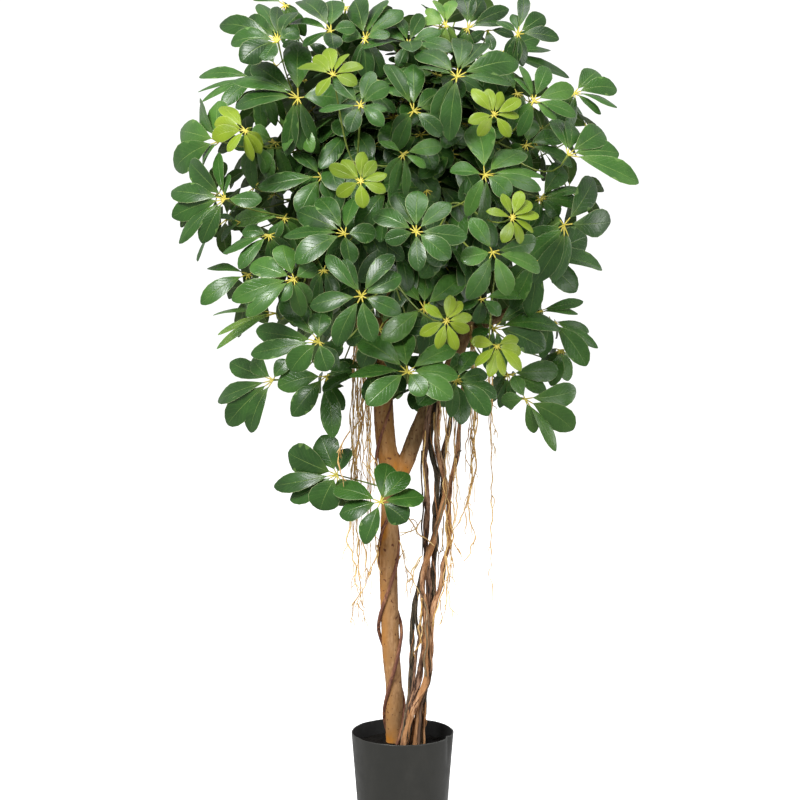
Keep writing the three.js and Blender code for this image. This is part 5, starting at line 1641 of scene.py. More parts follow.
YOUNG_LEAVES = [
    palm(333, 75, 298, 68, 313, 57, 327, 48, 347, 54, 363, 67, 352, 83, 317, 96),
    palm(360.5, 181.6, 329, 167, 342, 160, 364, 152, 375, 162, 383, 175, 376, 188, 363, 203, 342, 193),
    palm(252, 140, 228, 116, 221, 134, 219, 148, 234, 161),
    palm(494, 115, 472, 89, 487, 89, 502, 92, 520, 99, 518, 116, 509, 136, 484, 128, 472, 121),
    palm(512, 218, 489, 212, 504, 197, 521, 191, 531, 202, 538, 214, 533, 232, 520, 243, 504, 238),
    palm(446, 321, 431, 309, 450, 295, 461, 303, 472, 317, 469, 331, 457, 350, 438, 349, 420, 335),
    palm(496.5, 345.5, 476, 342, 516, 340, 520, 353, 521, 371, 475, 366, 489, 377, 504, 376),
]


# A leaf that shows fewer leaflets than it has room for gets some that hang down behind it.
MOST_LEAFLETS = 8  # in all, where it shows fewer
HANG_OUT, HANG_BACK, HANG_DOWN = 0.42, 0.5, 0.4  # a hanging tip's place, as shares of its length
HANGING_SIZE = 0.9  # its length, against a leaflet that shows


@dataclass(frozen=True)
class Leaf:
    """A hand-shaped leaf: its hub, the normal of its upper side and the tips of its leaflets, in order."""

    hub: Array
    normal: Array
    tips: Array
    front: bool = False
    kind: Kind = Kind.CROWN
    seed: float = 0
    number: int = 0
    olive: bool = False
    slim: float = 1
    hanging: Array | None = None  # which leaflets hang down behind the leaf

    @property
    def widths(self) -> Array:
        """How wide its blades are. One close to the next is narrower, by 3.4 tan(0.62 gap).

        Returns:
            A width for each leaflet, against the usual one.
        """
        arms = unit(self.tips - self.hub)
        gaps = np.arccos(np.clip(np.sum(arms * np.roll(arms, -1, axis=0), axis=1), -1, 1))
        least = np.minimum(gaps, np.roll(gaps, 1))
        return self.slim * np.minimum(1, 3.4 * np.tan(np.minimum(0.62 * least, 1.2)))

    @property
    def middle(self) -> Array:
        """The middle of its tips."""
        return self.tips.mean(axis=0)

    @property
    def reach(self) -> float:
        """How far its tips lie from their middle, on average."""
        return float(np.linalg.norm(self.tips - self.middle, axis=1).mean())

    def dressed(self) -> "Leaf":
        """The leaf as it shows.

        A hanging leaflet's tip is the hub + its length * (out * its arm - back * the normal - down * up).

        Returns:
            The leaf, with few hanging leaflets left and their tips moved.
        """
        if self.hanging is None or not self.hanging.any():
            return self
        left = max(MOST_LEAFLETS - int((~self.hanging).sum()), 0)
        kept = ~self.hanging | (np.cumsum(self.hanging) <= left)
        arms = self.tips - self.hub
        length = HANGING_SIZE * np.linalg.norm(arms, axis=1, keepdims=True)
        low = self.hub + length * (HANG_OUT * unit(arms) - HANG_BACK * self.normal - HANG_DOWN * UP)
        tips = np.where(self.hanging[:, None], low, self.tips)
        return replace(self, tips=tips[kept], hanging=self.hanging[kept])

def leaf_direction(normal: Array, turn: Array | float) -> Array:
    """Directions of a leaf's plane: cos(turn) * first + sin(turn) * second.

    Args:
        normal: the leaf's normal.
        turn: turns from the direction that points up most steeply.

    Returns:
        The directions.
    """
    first = unit(UP - float(UP @ normal) * normal)
    second = np.cross(normal, first)
    return np.multiply.outer(np.cos(turn), first) + np.multiply.outer(np.sin(turn), second)


def leaf_turns(normal: Array, arms: Array) -> Array:
    """The turns of directions in a leaf's plane."""
    return np.arctan2(arms @ leaf_direction(normal, math.pi / 2), arms @ leaf_direction(normal, 0.0))


@dataclass(frozen=True)
class Crown:
    """The crown's size, and how its leaves are set out, as in the part's source."""

    middle: float = 1099  # its height
    side: float = 368  # half its size to the sides, upwards and forward
    rise: float = 405
    depth: float = 290
    row: float = 190  # its middle in the front view
    columns: float = 240  # half its width there
    stem_share: float = 0.5  # how far out the stems end
    stems: int = 18
    hidden: int = 60  # leaves spread over the whole crown, of which those not in view are kept
    leaflets: int = 6
    lowest: float = 765  # no hidden leaf stands lower
    top: float = 335  # above its middle, past which the front view doesn't show it
    back: float = 25  # behind the axis, past which its leaves are hidden below that
    drawn_in: float = 32  # how far inwards the hidden leaves below its top stand
    leaflet: float = 92  # the usual length, then the most and the least
    longest: float = 124
    shortest: float = 42
    droop: float = 0.12  # how far the tips hang, against the length
    closest_turn: float = 0.24  # between two leaflets
    foot_room: float = 26  # between two stems' feet

    @property
    def size(self) -> Array:
        """Half the crown's size each way, to the hubs."""
        return vec(self.side, self.depth, self.rise)

    def spread(self, index: int, count: int) -> Array:
        """The direction of one of a number of points spread evenly over a ball, each a golden turn on.

        Args:
            index: the point's number.
            count: how many points.

        Returns:
            The direction.
        """
        height = 1 - (2 * index + 1) / count
        wide = math.sqrt(1 - height * height)
        turn = GOLDEN_TURN * index
        return vec(wide * math.cos(turn), wide * math.sin(turn), height)

    def surface(self, direction: Array, share: float = 1) -> Array:
        """The point of the crown's surface in a direction, or of a smaller copy of it."""
        return direction * self.size * share + vec(0, 0, self.middle)

    def stem_lines(self) -> list[Strand]:
        """The leafy stems, each from the nearest wood that is away from the feet taken, and the low one.

        Returns:
            The stems.
        """
        lines = np.concatenate([s.curve.spaced(25)[0] for s in WOOD])
        lines = lines[lines[:, 2] > self.middle - self.rise]
        feet: list[Array] = []
        stems = []
        for i in range(self.stems):
            tip = self.surface(self.spread(i, self.stems), self.stem_share)
            place = tip + vec(0, 0, -0.35 * math.hypot(tip[0], tip[1]))
            free = [p for p in lines if all(np.linalg.norm(p - taken) > self.foot_room for taken in feet)]
            foot = min(free, key=lambda p: float(np.linalg.norm(p - place)))
            feet.append(foot)
            middle = (foot + tip) / 2 + vec(0, 0, -0.08 * float(np.linalg.norm(tip - foot)))
            stems.append(Strand(np.array([foot, middle, tip]), (5.2, 4.4, 3.4)))
        stems.append(strand((389, 494, 4, 386, 490, 26, 384, 488, 40), (3.4, 3, 2.4)))
        return stems

    def leaf_from(self, hub: Array, normal: Array, known: Array, widest: float, seed: float) -> Leaf:
        """A leaf from its known tips, with leaflets added where the gap between two of them is wide.

        Args:
            hub: its hub.
            normal: its normal.
            known: the known tips.
            widest: the gap, in radians, past which leaflets are added.
            seed: for their lengths.

        Returns:
            The leaf.
        """
        arms = known - hub
        turns = leaf_turns(normal, arms)
        lengths = np.clip(np.linalg.norm(arms, axis=1), self.shortest, self.longest)
        order = np.argsort(turns, kind="stable")
        turns, lengths = turns[order], lengths[order]
        usual = self.leaflet * 0.9 if len(known) < 4 else float(lengths.mean())
        whole = []
        for i, (turn, length) in enumerate(zip(turns, lengths)):
            after = turns[i + 1] if i + 1 < len(turns) else turns[0] + 2 * math.pi
            gap = after - turn
            if gap >= self.closest_turn:
                whole.append((turn, length, 0))
            added = math.floor(gap / 0.88 + 0.5) - 1 if gap > widest else 0
            for n in range(added):
                size = usual * lerp(0.8, 1, chance(seed + 0.7 * i + 0.13 * n))
                whole.append((turn + gap * (n + 1) / (added + 1), size, 1))
        turned_to, long, hanging = np.array(whole).T
        return Leaf(hub, normal, self.tips_at(hub, normal, turned_to, long), seed=seed, hanging=hanging > 0)

    def tips_at(self, hub: Array, normal: Array, turns: Array, lengths: Array) -> Array:
        """The places of leaflets' tips from their turns and lengths."""
        out = leaf_direction(normal, turns) * lengths[:, None]
        return hub + out - normal * self.droop * lengths[:, None]

    def front_leaf(self, row: LeafRow, offset: float) -> Leaf:
        """A leaf of the front view: seen flattened it leans back, and seen narrowed it turns aside.

        Args:
            row: its row of the table.
            offset: how far before its usual depth it stands.

        Returns:
            The leaf.
        """
        spots = np.reshape(row.spots, (-1, 2))
        column, line = spots[0]
        across, down = spots.max(axis=0) - spots.min(axis=0)
        shape = row.tall or (0.85 if len(row.tips) < 5 else float(np.clip(down / across, 0.55, 1.6)))
        side = float(np.clip((column - VIEW.axis_column) / self.columns, -1, 1))
        turn = 0.45 * side + (0.6 * math.copysign(1, side) * math.acos(1 / shape) if shape > 1 else 0)
        azimuth = turn + lerp(-0.12, 0.12, chance(row.seed))
        lean = 0.14 + (0.7 * math.acos(shape) if shape < 1 else 0) + lerp(-0.1, 0.1, chance(row.seed + 0.5))
        level = math.cos(lean)
        normal = vec(math.sin(azimuth) * level, -math.cos(azimuth) * level, math.sin(lean))
        aside = (column - VIEW.axis_column) * VIEW.step / self.side
        up = (self.row - line) * VIEW.step / self.rise
        depth = row.forward or self.depth * math.sqrt(max(1 - aside**2 - up**2, 0.004))
        place = VIEW.seen(column, line, depth + offset)
        known = []
        for spot in row.tips:
            flat = VIEW.seen_on_plane(*spot, place, normal)
            drop = self.droop * float(np.linalg.norm(flat - place))
            known.append(VIEW.seen_on_plane(*spot, place - normal * drop, normal))
        widest = 7 if row.whole else 1.2 if len(row.tips) < 5 else 1.9
        leaf = self.leaf_from(place, normal, np.array(known), widest, row.seed)
        return replace(leaf, front=True, kind=row.kind, number=row.number, olive=row.olive, slim=row.slim)

    def hidden_leaf(self, direction: Array, seed: float, offset: float) -> Leaf:
        """A leaf of the back, the sides, the top or the inside, which looks outwards and up.

        Args:
            direction: from the crown's middle.
            seed: for its lean and its leaflets.
            offset: how far before the crown's surface it stands.

        Returns:
            The leaf.
        """
        hub = self.surface(direction, 1 + offset / self.side)
        outward = unit(direction / self.size)
        aside, deep = (lerp(-0.25, 0.25, chance(seed + part)) for part in (0, 0.2))
        lean = vec(aside, deep, lerp(0.35, 0.8, chance(seed + 0.4)))
        outward[2] = max(outward[2], -0.25)
        normal = unit(outward + lean)
        first = float(leaf_turns(normal, vec(direction[0], direction[1], 0.1)))
        spots = np.arange(self.leaflets)
        jitter = lerp(-0.15, 0.15, chances(seed + 0.11 * spots))
        turns = 2 * np.pi * (spots + jitter) / self.leaflets
        known = self.tips_at(hub, normal, first + turns, self.leaflet * (0.86 + 0.14 * np.cos(turns)))
        return self.leaf_from(hub, normal, known, 1.9, seed)


def least_room(leaf: Leaf, middles: Array, normals: Array, reaches: Array, fronts: Array) -> float:
    """How far a leaf lies clear behind the nearest of the others that cover it or that it covers.

    Args:
        leaf: the leaf.
        middles: the middles of the others' tips.
        normals: the others' normals.
        reaches: how far the others' tips lie from their middles.
        fronts: which of them are set out in the front view.

    Returns:
        The least distance along the mean of the two normals, less what their tilt takes up.
    """
    apart = middles - leaf.middle
    level = np.sum(apart * unit(normals + leaf.normal), axis=1)
    sideways = np.sqrt(np.maximum(np.sum(apart**2, axis=1) - level**2, 0))
    both = reaches + leaf.reach
    overlap = 1 - sideways / both
    between = np.sqrt(np.maximum(1 - (normals @ leaf.normal) ** 2, 0))
    room = np.where(fronts, level, np.abs(level)) - 7 - 0.5 * overlap * both * between
    return float(min(room[overlap > 0.1], default=1000.0))


@dataclass
class Foliage:
    """All the leaves on their stems."""

    crown: Crown = field(default_factory=Crown)
    offsets: Numbers = (0, -14, -28, -42, -56, -70, -84, -98, -112, -126, -140, -156)
    lifts: Numbers = (0, 6, -6, 12, -12, 20, -20, 30, -30)
    sizes: Numbers = (1, 0.86, 0.72, 0.58)
    bends: Numbers = (0, 12, -10)
    young_first: float = 1.5  # leaflets by which a young leaf is set out sooner
    hub_above: float = 2.2
    close: float = 0.7  # how near a solid's corner counts as the leaf's
    # The leaves inside, as how many there are and how far out.
    shells: tuple[tuple[int, float], ...] = ((90, 0.84), (60, 0.66), (30, 0.45))

    def settle(self, make: Callable[[float], Leaf], leaves: list[Leaf]) -> Leaf:
        """The first of the places tried for a leaf that leaves room for the others, or the best.

        Args:
            make: the leaf at an offset.
            leaves: those already set out.

        Returns:
            The leaf.
        """
        best, most = None, -math.inf
        middles = np.array([other.middle for other in leaves]).reshape(-1, 3)
        normals = np.array([other.normal for other in leaves]).reshape(-1, 3)
        reaches = np.array([other.reach for other in leaves])
        fronts = np.array([other.front for other in leaves], dtype=bool)
        for offset in self.offsets:
            leaf = make(offset)
            room = least_room(leaf, middles, normals, reaches, fronts)
            if room > most:
                best, most = leaf, room
            if room >= 0:
                break
        return best

    def rows(self) -> list[LeafRow]:
        """The front view's leaves, those that show most first, so that the others lie behind them.

        Returns:
            The rows, numbered.
        """
        kinds = ((LOW_LEAVES, Kind.LOW), (YOUNG_LEAVES, Kind.YOUNG), (FRONT_LEAVES, Kind.CROWN))
        rows = [replace(row, kind=kind, number=i + 1) for table, kind in kinds for i, row in enumerate(table)]
        rows = [replace(row, seed=i + 1) for i, row in enumerate(rows)]
        young = self.young_first
        return sorted(rows, key=lambda row: (-len(row.tips) - young * (row.kind is Kind.YOUNG), row.seed))

    def settled(self) -> list[Leaf]:
        """The leaves of the part's solids: the front view's, then the hidden ones.

        Returns:
            The leaves, in the order in which they are set out.
        """
        crown = self.crown
        leaves: list[Leaf] = []
        for row in self.rows():
            leaves.append(self.settle(lambda offset: crown.front_leaf(row, offset), leaves))
        for i in range(crown.hidden):
            direction = crown.spread(i, crown.hidden)
            hub = crown.surface(direction)
            in_view = hub[2] < crown.middle + crown.top
            if hub[2] < crown.lowest or (in_view and hub[1] < crown.back):
                continue
            inward = crown.drawn_in if in_view else 0
            seed = 200 + i
            leaf = self.settle(lambda offset: crown.hidden_leaf(direction, seed, offset - inward), leaves)
            leaves.append(leaf)
        return leaves

    def inside(self, leaves: list[Leaf]) -> list[Leaf]:
        """Leaves on smaller copies of the crown's surface, in the gaps between the others.

        Args:
            leaves: the others.

        Returns:
            The added leaves.
        """
        crown = self.crown
        added: list[Leaf] = []
        for count, share in self.shells:
            for i in range(count):
                direction = crown.spread(i, count)
                seed = 400 + 3.7 * i + 100 * share
                inward = (1 - share) * crown.side
                leaf = self.settle(
                    lambda offset: crown.hidden_leaf(direction, seed, offset - inward), leaves + added)
                if leaf.hub[2] > crown.lowest - 20:
                    added.append(replace(leaf, kind=Kind.INNER))
        return added

    def as_built(self, leaf: Leaf, corners: Array, names: Array) -> tuple[Leaf, str | None]:
        """The leaf as its solid has it, which may be lifted, bent or smaller to clear its neighbours.

        Args:
            leaf: the leaf as set out.
            corners: the corners of all the leafy solids.
            names: the node of each corner.

        Returns:
            The leaf moved as its solid was, and its node, or None where there is none.
        """
        near = np.linalg.norm(corners - leaf.hub, axis=1) < 160
        corners, names = corners[near], names[near]
        best: tuple[int, Leaf, str | None] = (0, leaf, None)
        for lift in self.lifts:
            hub = leaf.hub + leaf.normal * lift
            gap = np.linalg.norm(corners - (hub + leaf.normal * self.hub_above), axis=1)
            if not len(gap) or gap.min() > self.close:
                continue
            for size in self.sizes:
                for bend in self.bends:
                    tips = (leaf.tips - leaf.hub) * size + leaf.normal * bend * size + hub
                    found = np.linalg.norm(corners[:, None] - tips, axis=2).min(axis=0) < self.close
                    if found.sum() > best[0]:
                        best = (int(found.sum()), replace(leaf, hub=hub, tips=tips), str(names[gap.argmin()]))
        return best[1], best[2]


@dataclass(frozen=True)
class LeafletForm:
    """The form of a leaflet's blade. Shares are of the leaflet's length, from the leaf's hub to its tip."""

    stations: Numbers = (0.05, 0.17, 0.33, 0.50, 0.67, 0.81, 0.92, 0.98)  # along the blade
    across: Numbers = (-1, -0.52, 0, 0.52, 1)
    half_width: float = 0.2
    foot_power: float = 1.12  # how slowly the blade widens from its foot
    tip_power: float = 0.70  # how bluntly it ends
    stalk: float = 0.13  # where the blade starts
    stalk_rise: float = 0.22  # how steeply the stalk leaves the leaf's plane
    sway: float = 0.07  # how far the midrib bends to a side
    wave: float = 0.05  # how far the blade waves along its length
    thick: float = 0.35  # half the blade's thickness in the middle, in millimetres
    camber: tuple[float, float] = (0.07, 0.20)
    roll: float = 0.55  # the most that a blade turns about its length, in radians
    fold: float = 0.42
    curl: float = 0.36

    def sheets(self) -> tuple[Array, Array, Array, Array]:
        """A blade's two sheets, which share the points of the rim and are closed at both ends.

        The points are the upper sheet's by rows, then the lower's between its rims, then the two ends.

        Returns:
            The four-sided and the three-sided faces, the upper sheet's half first in each, then the points'
            UV places and whether they lie on the rim.
        """
        rows, cols = len(self.stations), len(self.across)
        inner = rows * (cols - 2)
        upper = np.arange(rows * cols).reshape(rows, cols)
        lower = upper.copy()
        lower[:, 1:-1] = rows * cols + np.arange(inner).reshape(rows, cols - 2)
        foot = rows * cols + inner
        quads, tris = [], []
        for sheet, turn in ((upper, 1), (lower, -1)):
            corners = (sheet[:-1, :-1], sheet[:-1, 1:], sheet[1:, 1:], sheet[1:, :-1])
            quads.append(np.stack(corners, axis=-1).reshape(-1, 4)[:, ::-turn])
            for end, a, b in ((foot, sheet[0, 1:], sheet[0, :-1]), (foot + 1, sheet[-1, :-1], sheet[-1, 1:])):
                tris.append(np.stack([np.full(cols - 1, end), a, b], axis=-1)[:, ::-turn])
        across = (np.array(self.across) + 1) / 2
        uv = np.stack(np.meshgrid(self.stations, across, indexing="ij"), axis=-1)[..., ::-1]
        uv = np.concatenate([uv.reshape(-1, 2), uv[:, 1:-1].reshape(-1, 2), END_UV])
        rim = np.ones(foot + 2, dtype=bool)
        rim[:foot] = np.abs(2 * uv[:foot, 0] - 1) == 1
        return np.concatenate(quads), np.concatenate(tris), uv, rim

    def blades(self, hubs: Array, normals: Array, tips: Array, tones: Array, seeds: Array,
               wide: Array) -> Shape:
        """The blades of leaflets, worked out together.

        The midrib is the curve P0 (1-s)^2 + 2 P1 s (1-s) + P2 s^2 from the leaflet's stalk to its tip, with
        P1 raised by the camber. Half the width at s is W s^foot (1-s)^tip, over its largest value. A point
        across by v lies v times that to the side, and higher by (fold |v| - curl v^2) times it. The two
        faces stand apart by thick (1 - v^2) each way and meet at the rim.

        Args:
            hubs: the leaves' hubs, one for each leaflet.
            normals: the leaves' normals.
            tips: the leaflets' tips.
            tones: the leaflets' tones.
            seeds: for the leaflets' small differences.
            wide: the leaflets' widths, against the usual one.

        Returns:
            The shape, with slot 0 on the upper faces and 1 on the lower ones.
        """
        arms = tips - hubs
        length = np.linalg.norm(arms, axis=1, keepdims=True)
        draw = [chances(seeds + 0.17 * i)[:, None] for i in range(6)]
        flat = unit(arms - dot(arms, normals) * normals)
        side = np.cross(normals, flat)
        start = hubs + (flat + self.stalk_rise * normals) * self.stalk * length
        camber = lerp(*self.camber, draw[0])
        sway = self.sway * (2 * draw[1] - 1)
        bend = (start + tips) / 2 + normals * camber * length + side * sway * length
        s = np.array([0, *self.stations, 1])[None, :, None]
        p0, p1, p2 = start[:, None], bend[:, None], tips[:, None]
        spine = p0 * (1 - s) ** 2 + 2 * p1 * s * (1 - s) + p2 * s**2
        along = unit(2 * (p1 - p0) * (1 - s) + 2 * (p2 - p1) * s)
        roll = self.roll * (2 * draw[2][:, None] - 1)
        level = unit(np.cross(normals[:, None], along))
        rise = np.cross(along, level)
        level, rise = level * np.cos(roll) + rise * np.sin(roll), rise * np.cos(roll) - level * np.sin(roll)
        foot, tip = self.foot_power, self.tip_power
        widest = foot / (foot + tip)
        swell = s[..., 0] ** foot * (1 - s[..., 0]) ** tip / (widest**foot * (1 - widest) ** tip)
        half = (self.half_width * wide[:, None] * length * swell)[..., None]
        v = np.array(self.across)
        fold = self.fold * (0.6 + 0.8 * draw[3])[:, :, None]
        curl = self.curl * (0.7 + 0.6 * draw[4])[:, :, None]
        wave = self.wave * np.sin(9 * s + 6.28 * draw[5][:, None]) * v
        up = (fold * np.abs(v) - curl * v**2 + wave) * half
        grid = spine[:, :, None] + level[:, :, None] * (v * half)[..., None]
        grid = grid + rise[:, :, None] * up[..., None]
        lift = rise[:, :, None] * (self.thick * (1 - v**2))[:, None]
        top = grid[:, 1:-1] + lift[:, 1:-1]
        low = (grid - lift)[:, 1:-1, 1:-1]
        layers = [top.reshape(len(hubs), -1, 3), low.reshape(len(hubs), -1, 3), spine[:, [0, -1]]]
        quads, tris, uv, rim = self.sheets()
        slots = tuple(np.repeat([0, 1], len(faces) // 2) for faces in (quads, tris))
        return Shape.copied(np.concatenate(layers, axis=1), quads, tris, uv, tones, rim, slots)

    def stalks(self, hubs: Array, normals: Array, tips: Array) -> Shape:
        """The leaflets' own short stalks, from the leaf's hub into the blade, in slot 2.

        Args:
            hubs: the leaves' hubs, one for each leaflet.
            normals: the leaves' normals.
            tips: the leaflets' tips.

        Returns:
            The shape.
        """
        arms = tips - hubs
        length = np.linalg.norm(arms, axis=1, keepdims=True)
        flat = unit(arms - dot(arms, normals) * normals)
        share = np.array([0.0, 0.35, 0.7, 1.0, 1.45])[:, None]
        reach = (self.stalk * length)[:, None] * share
        paths = hubs[:, None] + (flat + self.stalk_rise * normals)[:, None] * reach
        paths = paths - normals[:, None] * (0.5 + 0.5 * share)
        radii = np.broadcast_to(np.array([1.4, 1.2, 1.1, 1.0, 0.5]), paths.shape[:2])
        return tubes(paths, radii, 5, normals, 2, 0.6)


@dataclass
class LeafSet:
    """The leaves, stalks and stem that make one piece."""

    form: LeafletForm = field(default_factory=LeafletForm)
    leaves: list[Leaf] = field(default_factory=list)
    feet: list[tuple[Array, Array]] = field(default_factory=list)
    stem: Strand | None = None
    shared_width: float = 0.6  # how far a short leaflet is as wide as its leaf's longest
    low_width: float = 1.3  # of the leaves under the crown, against the others

    def tone_of(self, leaf: Leaf) -> float:
        """How light a leaf is, from 0 to 1: a random tone, with painted shade on the inner leaves, on the low
        leaves in the middle and at the top, and painted light on the low leaves at the sides.

        Args:
            leaf: the leaf.

        Returns:
            The tone.
        """
        # painted shade: the leaves inside the crown take a darker tone
        if leaf.kind is Kind.INNER:
            return 0.12 + 0.2 * chance(leaf.seed + 0.9)
        if leaf.olive:
            return 0.8
        # painted shade and light by height: low leaves in the middle, under the crown, are darker, low ones
        # at the sides lighter, and the top darker against the lamps' light there
        beside = float(np.interp(abs(leaf.hub[0]), [60, 140], [0.1, -0.14]))
        low = float(np.interp(leaf.hub[2], [700, 980, 1200, 1320], [beside, 0, 0, 0.12]))
        return 0.23 + 0.36 * chance(leaf.seed + 0.9) ** 1.5 - low

    def stalk_paths(self) -> Array:
        """The leaves' stalks: cubic curves that leave the hub downwards and reach the stem along it.

        Returns:
            Their middles, as stalk, ring, xyz.
        """
        share = np.linspace(0, 1, 12)[:, None]
        paths = []
        for leaf, (foot, rise) in zip(self.leaves, self.feet):
            length = float(np.linalg.norm(leaf.hub - foot))
            top = leaf.hub - 0.8 * leaf.normal
            p1 = top - 0.7 * length * leaf.normal
            p2 = foot + 0.25 * length * rise
            paths.append(
                top * (1 - share) ** 3 + 3 * p1 * share * (1 - share) ** 2 + 3 * p2 * share**2 * (1 - share)
                + foot * share**3)
        return np.array(paths)

    def shape(self) -> Shape:
        """The whole set as one shape.

        Returns:
            The shape, with slots for upper side, underside, leaflet stalk, leaf stalk and stem.
        """
        leaves = [leaf.dressed() for leaf in self.leaves]
        counts = [len(leaf.tips) for leaf in leaves]
        hubs = np.repeat([leaf.hub for leaf in leaves], counts, axis=0)
        normals = np.repeat([leaf.normal for leaf in leaves], counts, axis=0)
        tips = np.concatenate([leaf.tips for leaf in leaves])
        numbers = np.concatenate([np.arange(count) for count in counts])
        seeds = np.repeat([leaf.seed for leaf in self.leaves], counts) + 0.37 * numbers
        tones = np.repeat([self.tone_of(leaf) for leaf in self.leaves], counts)
        tones += 0.24 * (chances(seeds + 0.3) - 0.5)
        arms = np.linalg.norm(tips - hubs, axis=1)
        longest = [np.linalg.norm(leaf.tips - leaf.hub, axis=1).max() for leaf in self.leaves]
        share = lerp(1, np.repeat(longest, counts) / arms, self.shared_width)
        wide = (0.92 + 0.2 * chances(seeds + 0.6)) * np.minimum(share, 1.8)
        usual = [self.low_width if leaf.kind is Kind.LOW else 1 for leaf in leaves]
        wide *= np.concatenate([leaf.widths * width for leaf, width in zip(leaves, usual)])
        shapes = [
            self.form.blades(hubs, normals, tips, tones, seeds, wide),
            self.form.stalks(hubs, normals, tips),
        ]
        paths = self.stalk_paths()
        taper = np.interp(np.linspace(0, 1, 12), [0, 0.06, 1], [1.9, 1.25, 1.6])
        radii = np.broadcast_to(taper, paths.shape[:2])
        references = np.array([leaf_direction(leaf.normal, 0.0) for leaf in self.leaves])
        shapes.append(tubes(paths, radii, 7, references, 3))
        if self.stem is not None:
            stem = self.stem.tube(9, 9, vec(0.3, 0.2, 1))
            stem.quad_slots += 4
            stem.tri_slots += 4
            shapes.append(stem)
        return Shape.joined(shapes)


@dataclass
class Leafage:
    """Hangs the leaves on their stems and makes a piece of each leafy stem and each young leaf."""

    foliage: Foliage = field(default_factory=Foliage)

    def hung(self, frame: dict) -> list[tuple[Piece, str, str]]:
        """Shares the leaves out among the stems, and makes the pieces.

        Args:
            frame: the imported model.

        Returns:
            The pieces, each with the node that it stands for and its slot.
        """
        foliage = self.foliage
        stems = foliage.crown.stem_lines()
        curves = [stem.curve for stem in stems]
        ends = np.array([curve.at(0.9)[0] for curve in curves[:-1]])
        corners, names = leafy_corners(frame)
        sets = {f"leafy_stem_{i + 1}": LeafSet(stem=stem) for i, stem in enumerate(stems)}
        sets |= {f"young_leaf_{i + 1}": LeafSet() for i in range(len(YOUNG_LEAVES))}
        counts = [0] * len(stems)
        found = 0
        set_out = foliage.settled()
        built = [foliage.as_built(leaf, corners, names) for leaf in set_out]
        inner = [(leaf, None) for leaf in foliage.inside([leaf for leaf, _ in built])]
        for leaf, node in [*built, *inner]:
            nearest = int(np.linalg.norm(ends - leaf.hub, axis=1).argmin())
            carrier = len(stems) - 1 if leaf.kind is Kind.LOW else nearest
            found += node is not None
            own = f"young_leaf_{leaf.number}" if leaf.kind is Kind.YOUNG else f"leafy_stem_{carrier + 1}"
            home = node or own
            if node and node.startswith("leafy_stem"):
                carrier = int(node.split("_")[-1]) - 1
            spot = 0.95 - 0.13 * (counts[carrier] % 5)
            counts[carrier] += 1
            foot, after = curves[carrier].at([spot, min(spot + 0.02, 1)])
            sets[home].leaves.append(leaf)
            sets[home].feet.append((foot, unit(after - foot)))
        LOG.info("leaves: %d set out, %d found in the solids, %d inside", len(set_out), found, len(inner))
        made = []
        for node, leaf_set in sets.items():
            young = node.startswith("young")
            blade = Finish.YOUNG if young else Finish.GREEN
            materials = [blade.material("upper"), blade.material("lower")]
            materials += [f.material() for f in (Finish.PETIOLULE, Finish.STALK, Finish.STEM)]
            name = node.replace("leafy_stem", "leafage").replace("young_leaf", "young_leafage")
            slot = "young_leaf" if young else "green_leaf"
            made.append((leaf_set.shape().made(name, materials), node, slot))
        return made


def leafy_corners(frame: dict) -> tuple[Array, Array]:
    """The corners of the leafy solids.


    Returns:
        The corners, in millimetres, and the node of each.
    """
    leafy = [name for name in frame["nodes"] if name.startswith(("leafy_stem", "young_leaf"))]
    corners = [corners_of(frame["nodes"][name].data) for name in leafy]
    return np.concatenate(corners), np.repeat(leafy, [len(part) for part in corners])


# ---- The pot and its soil ----


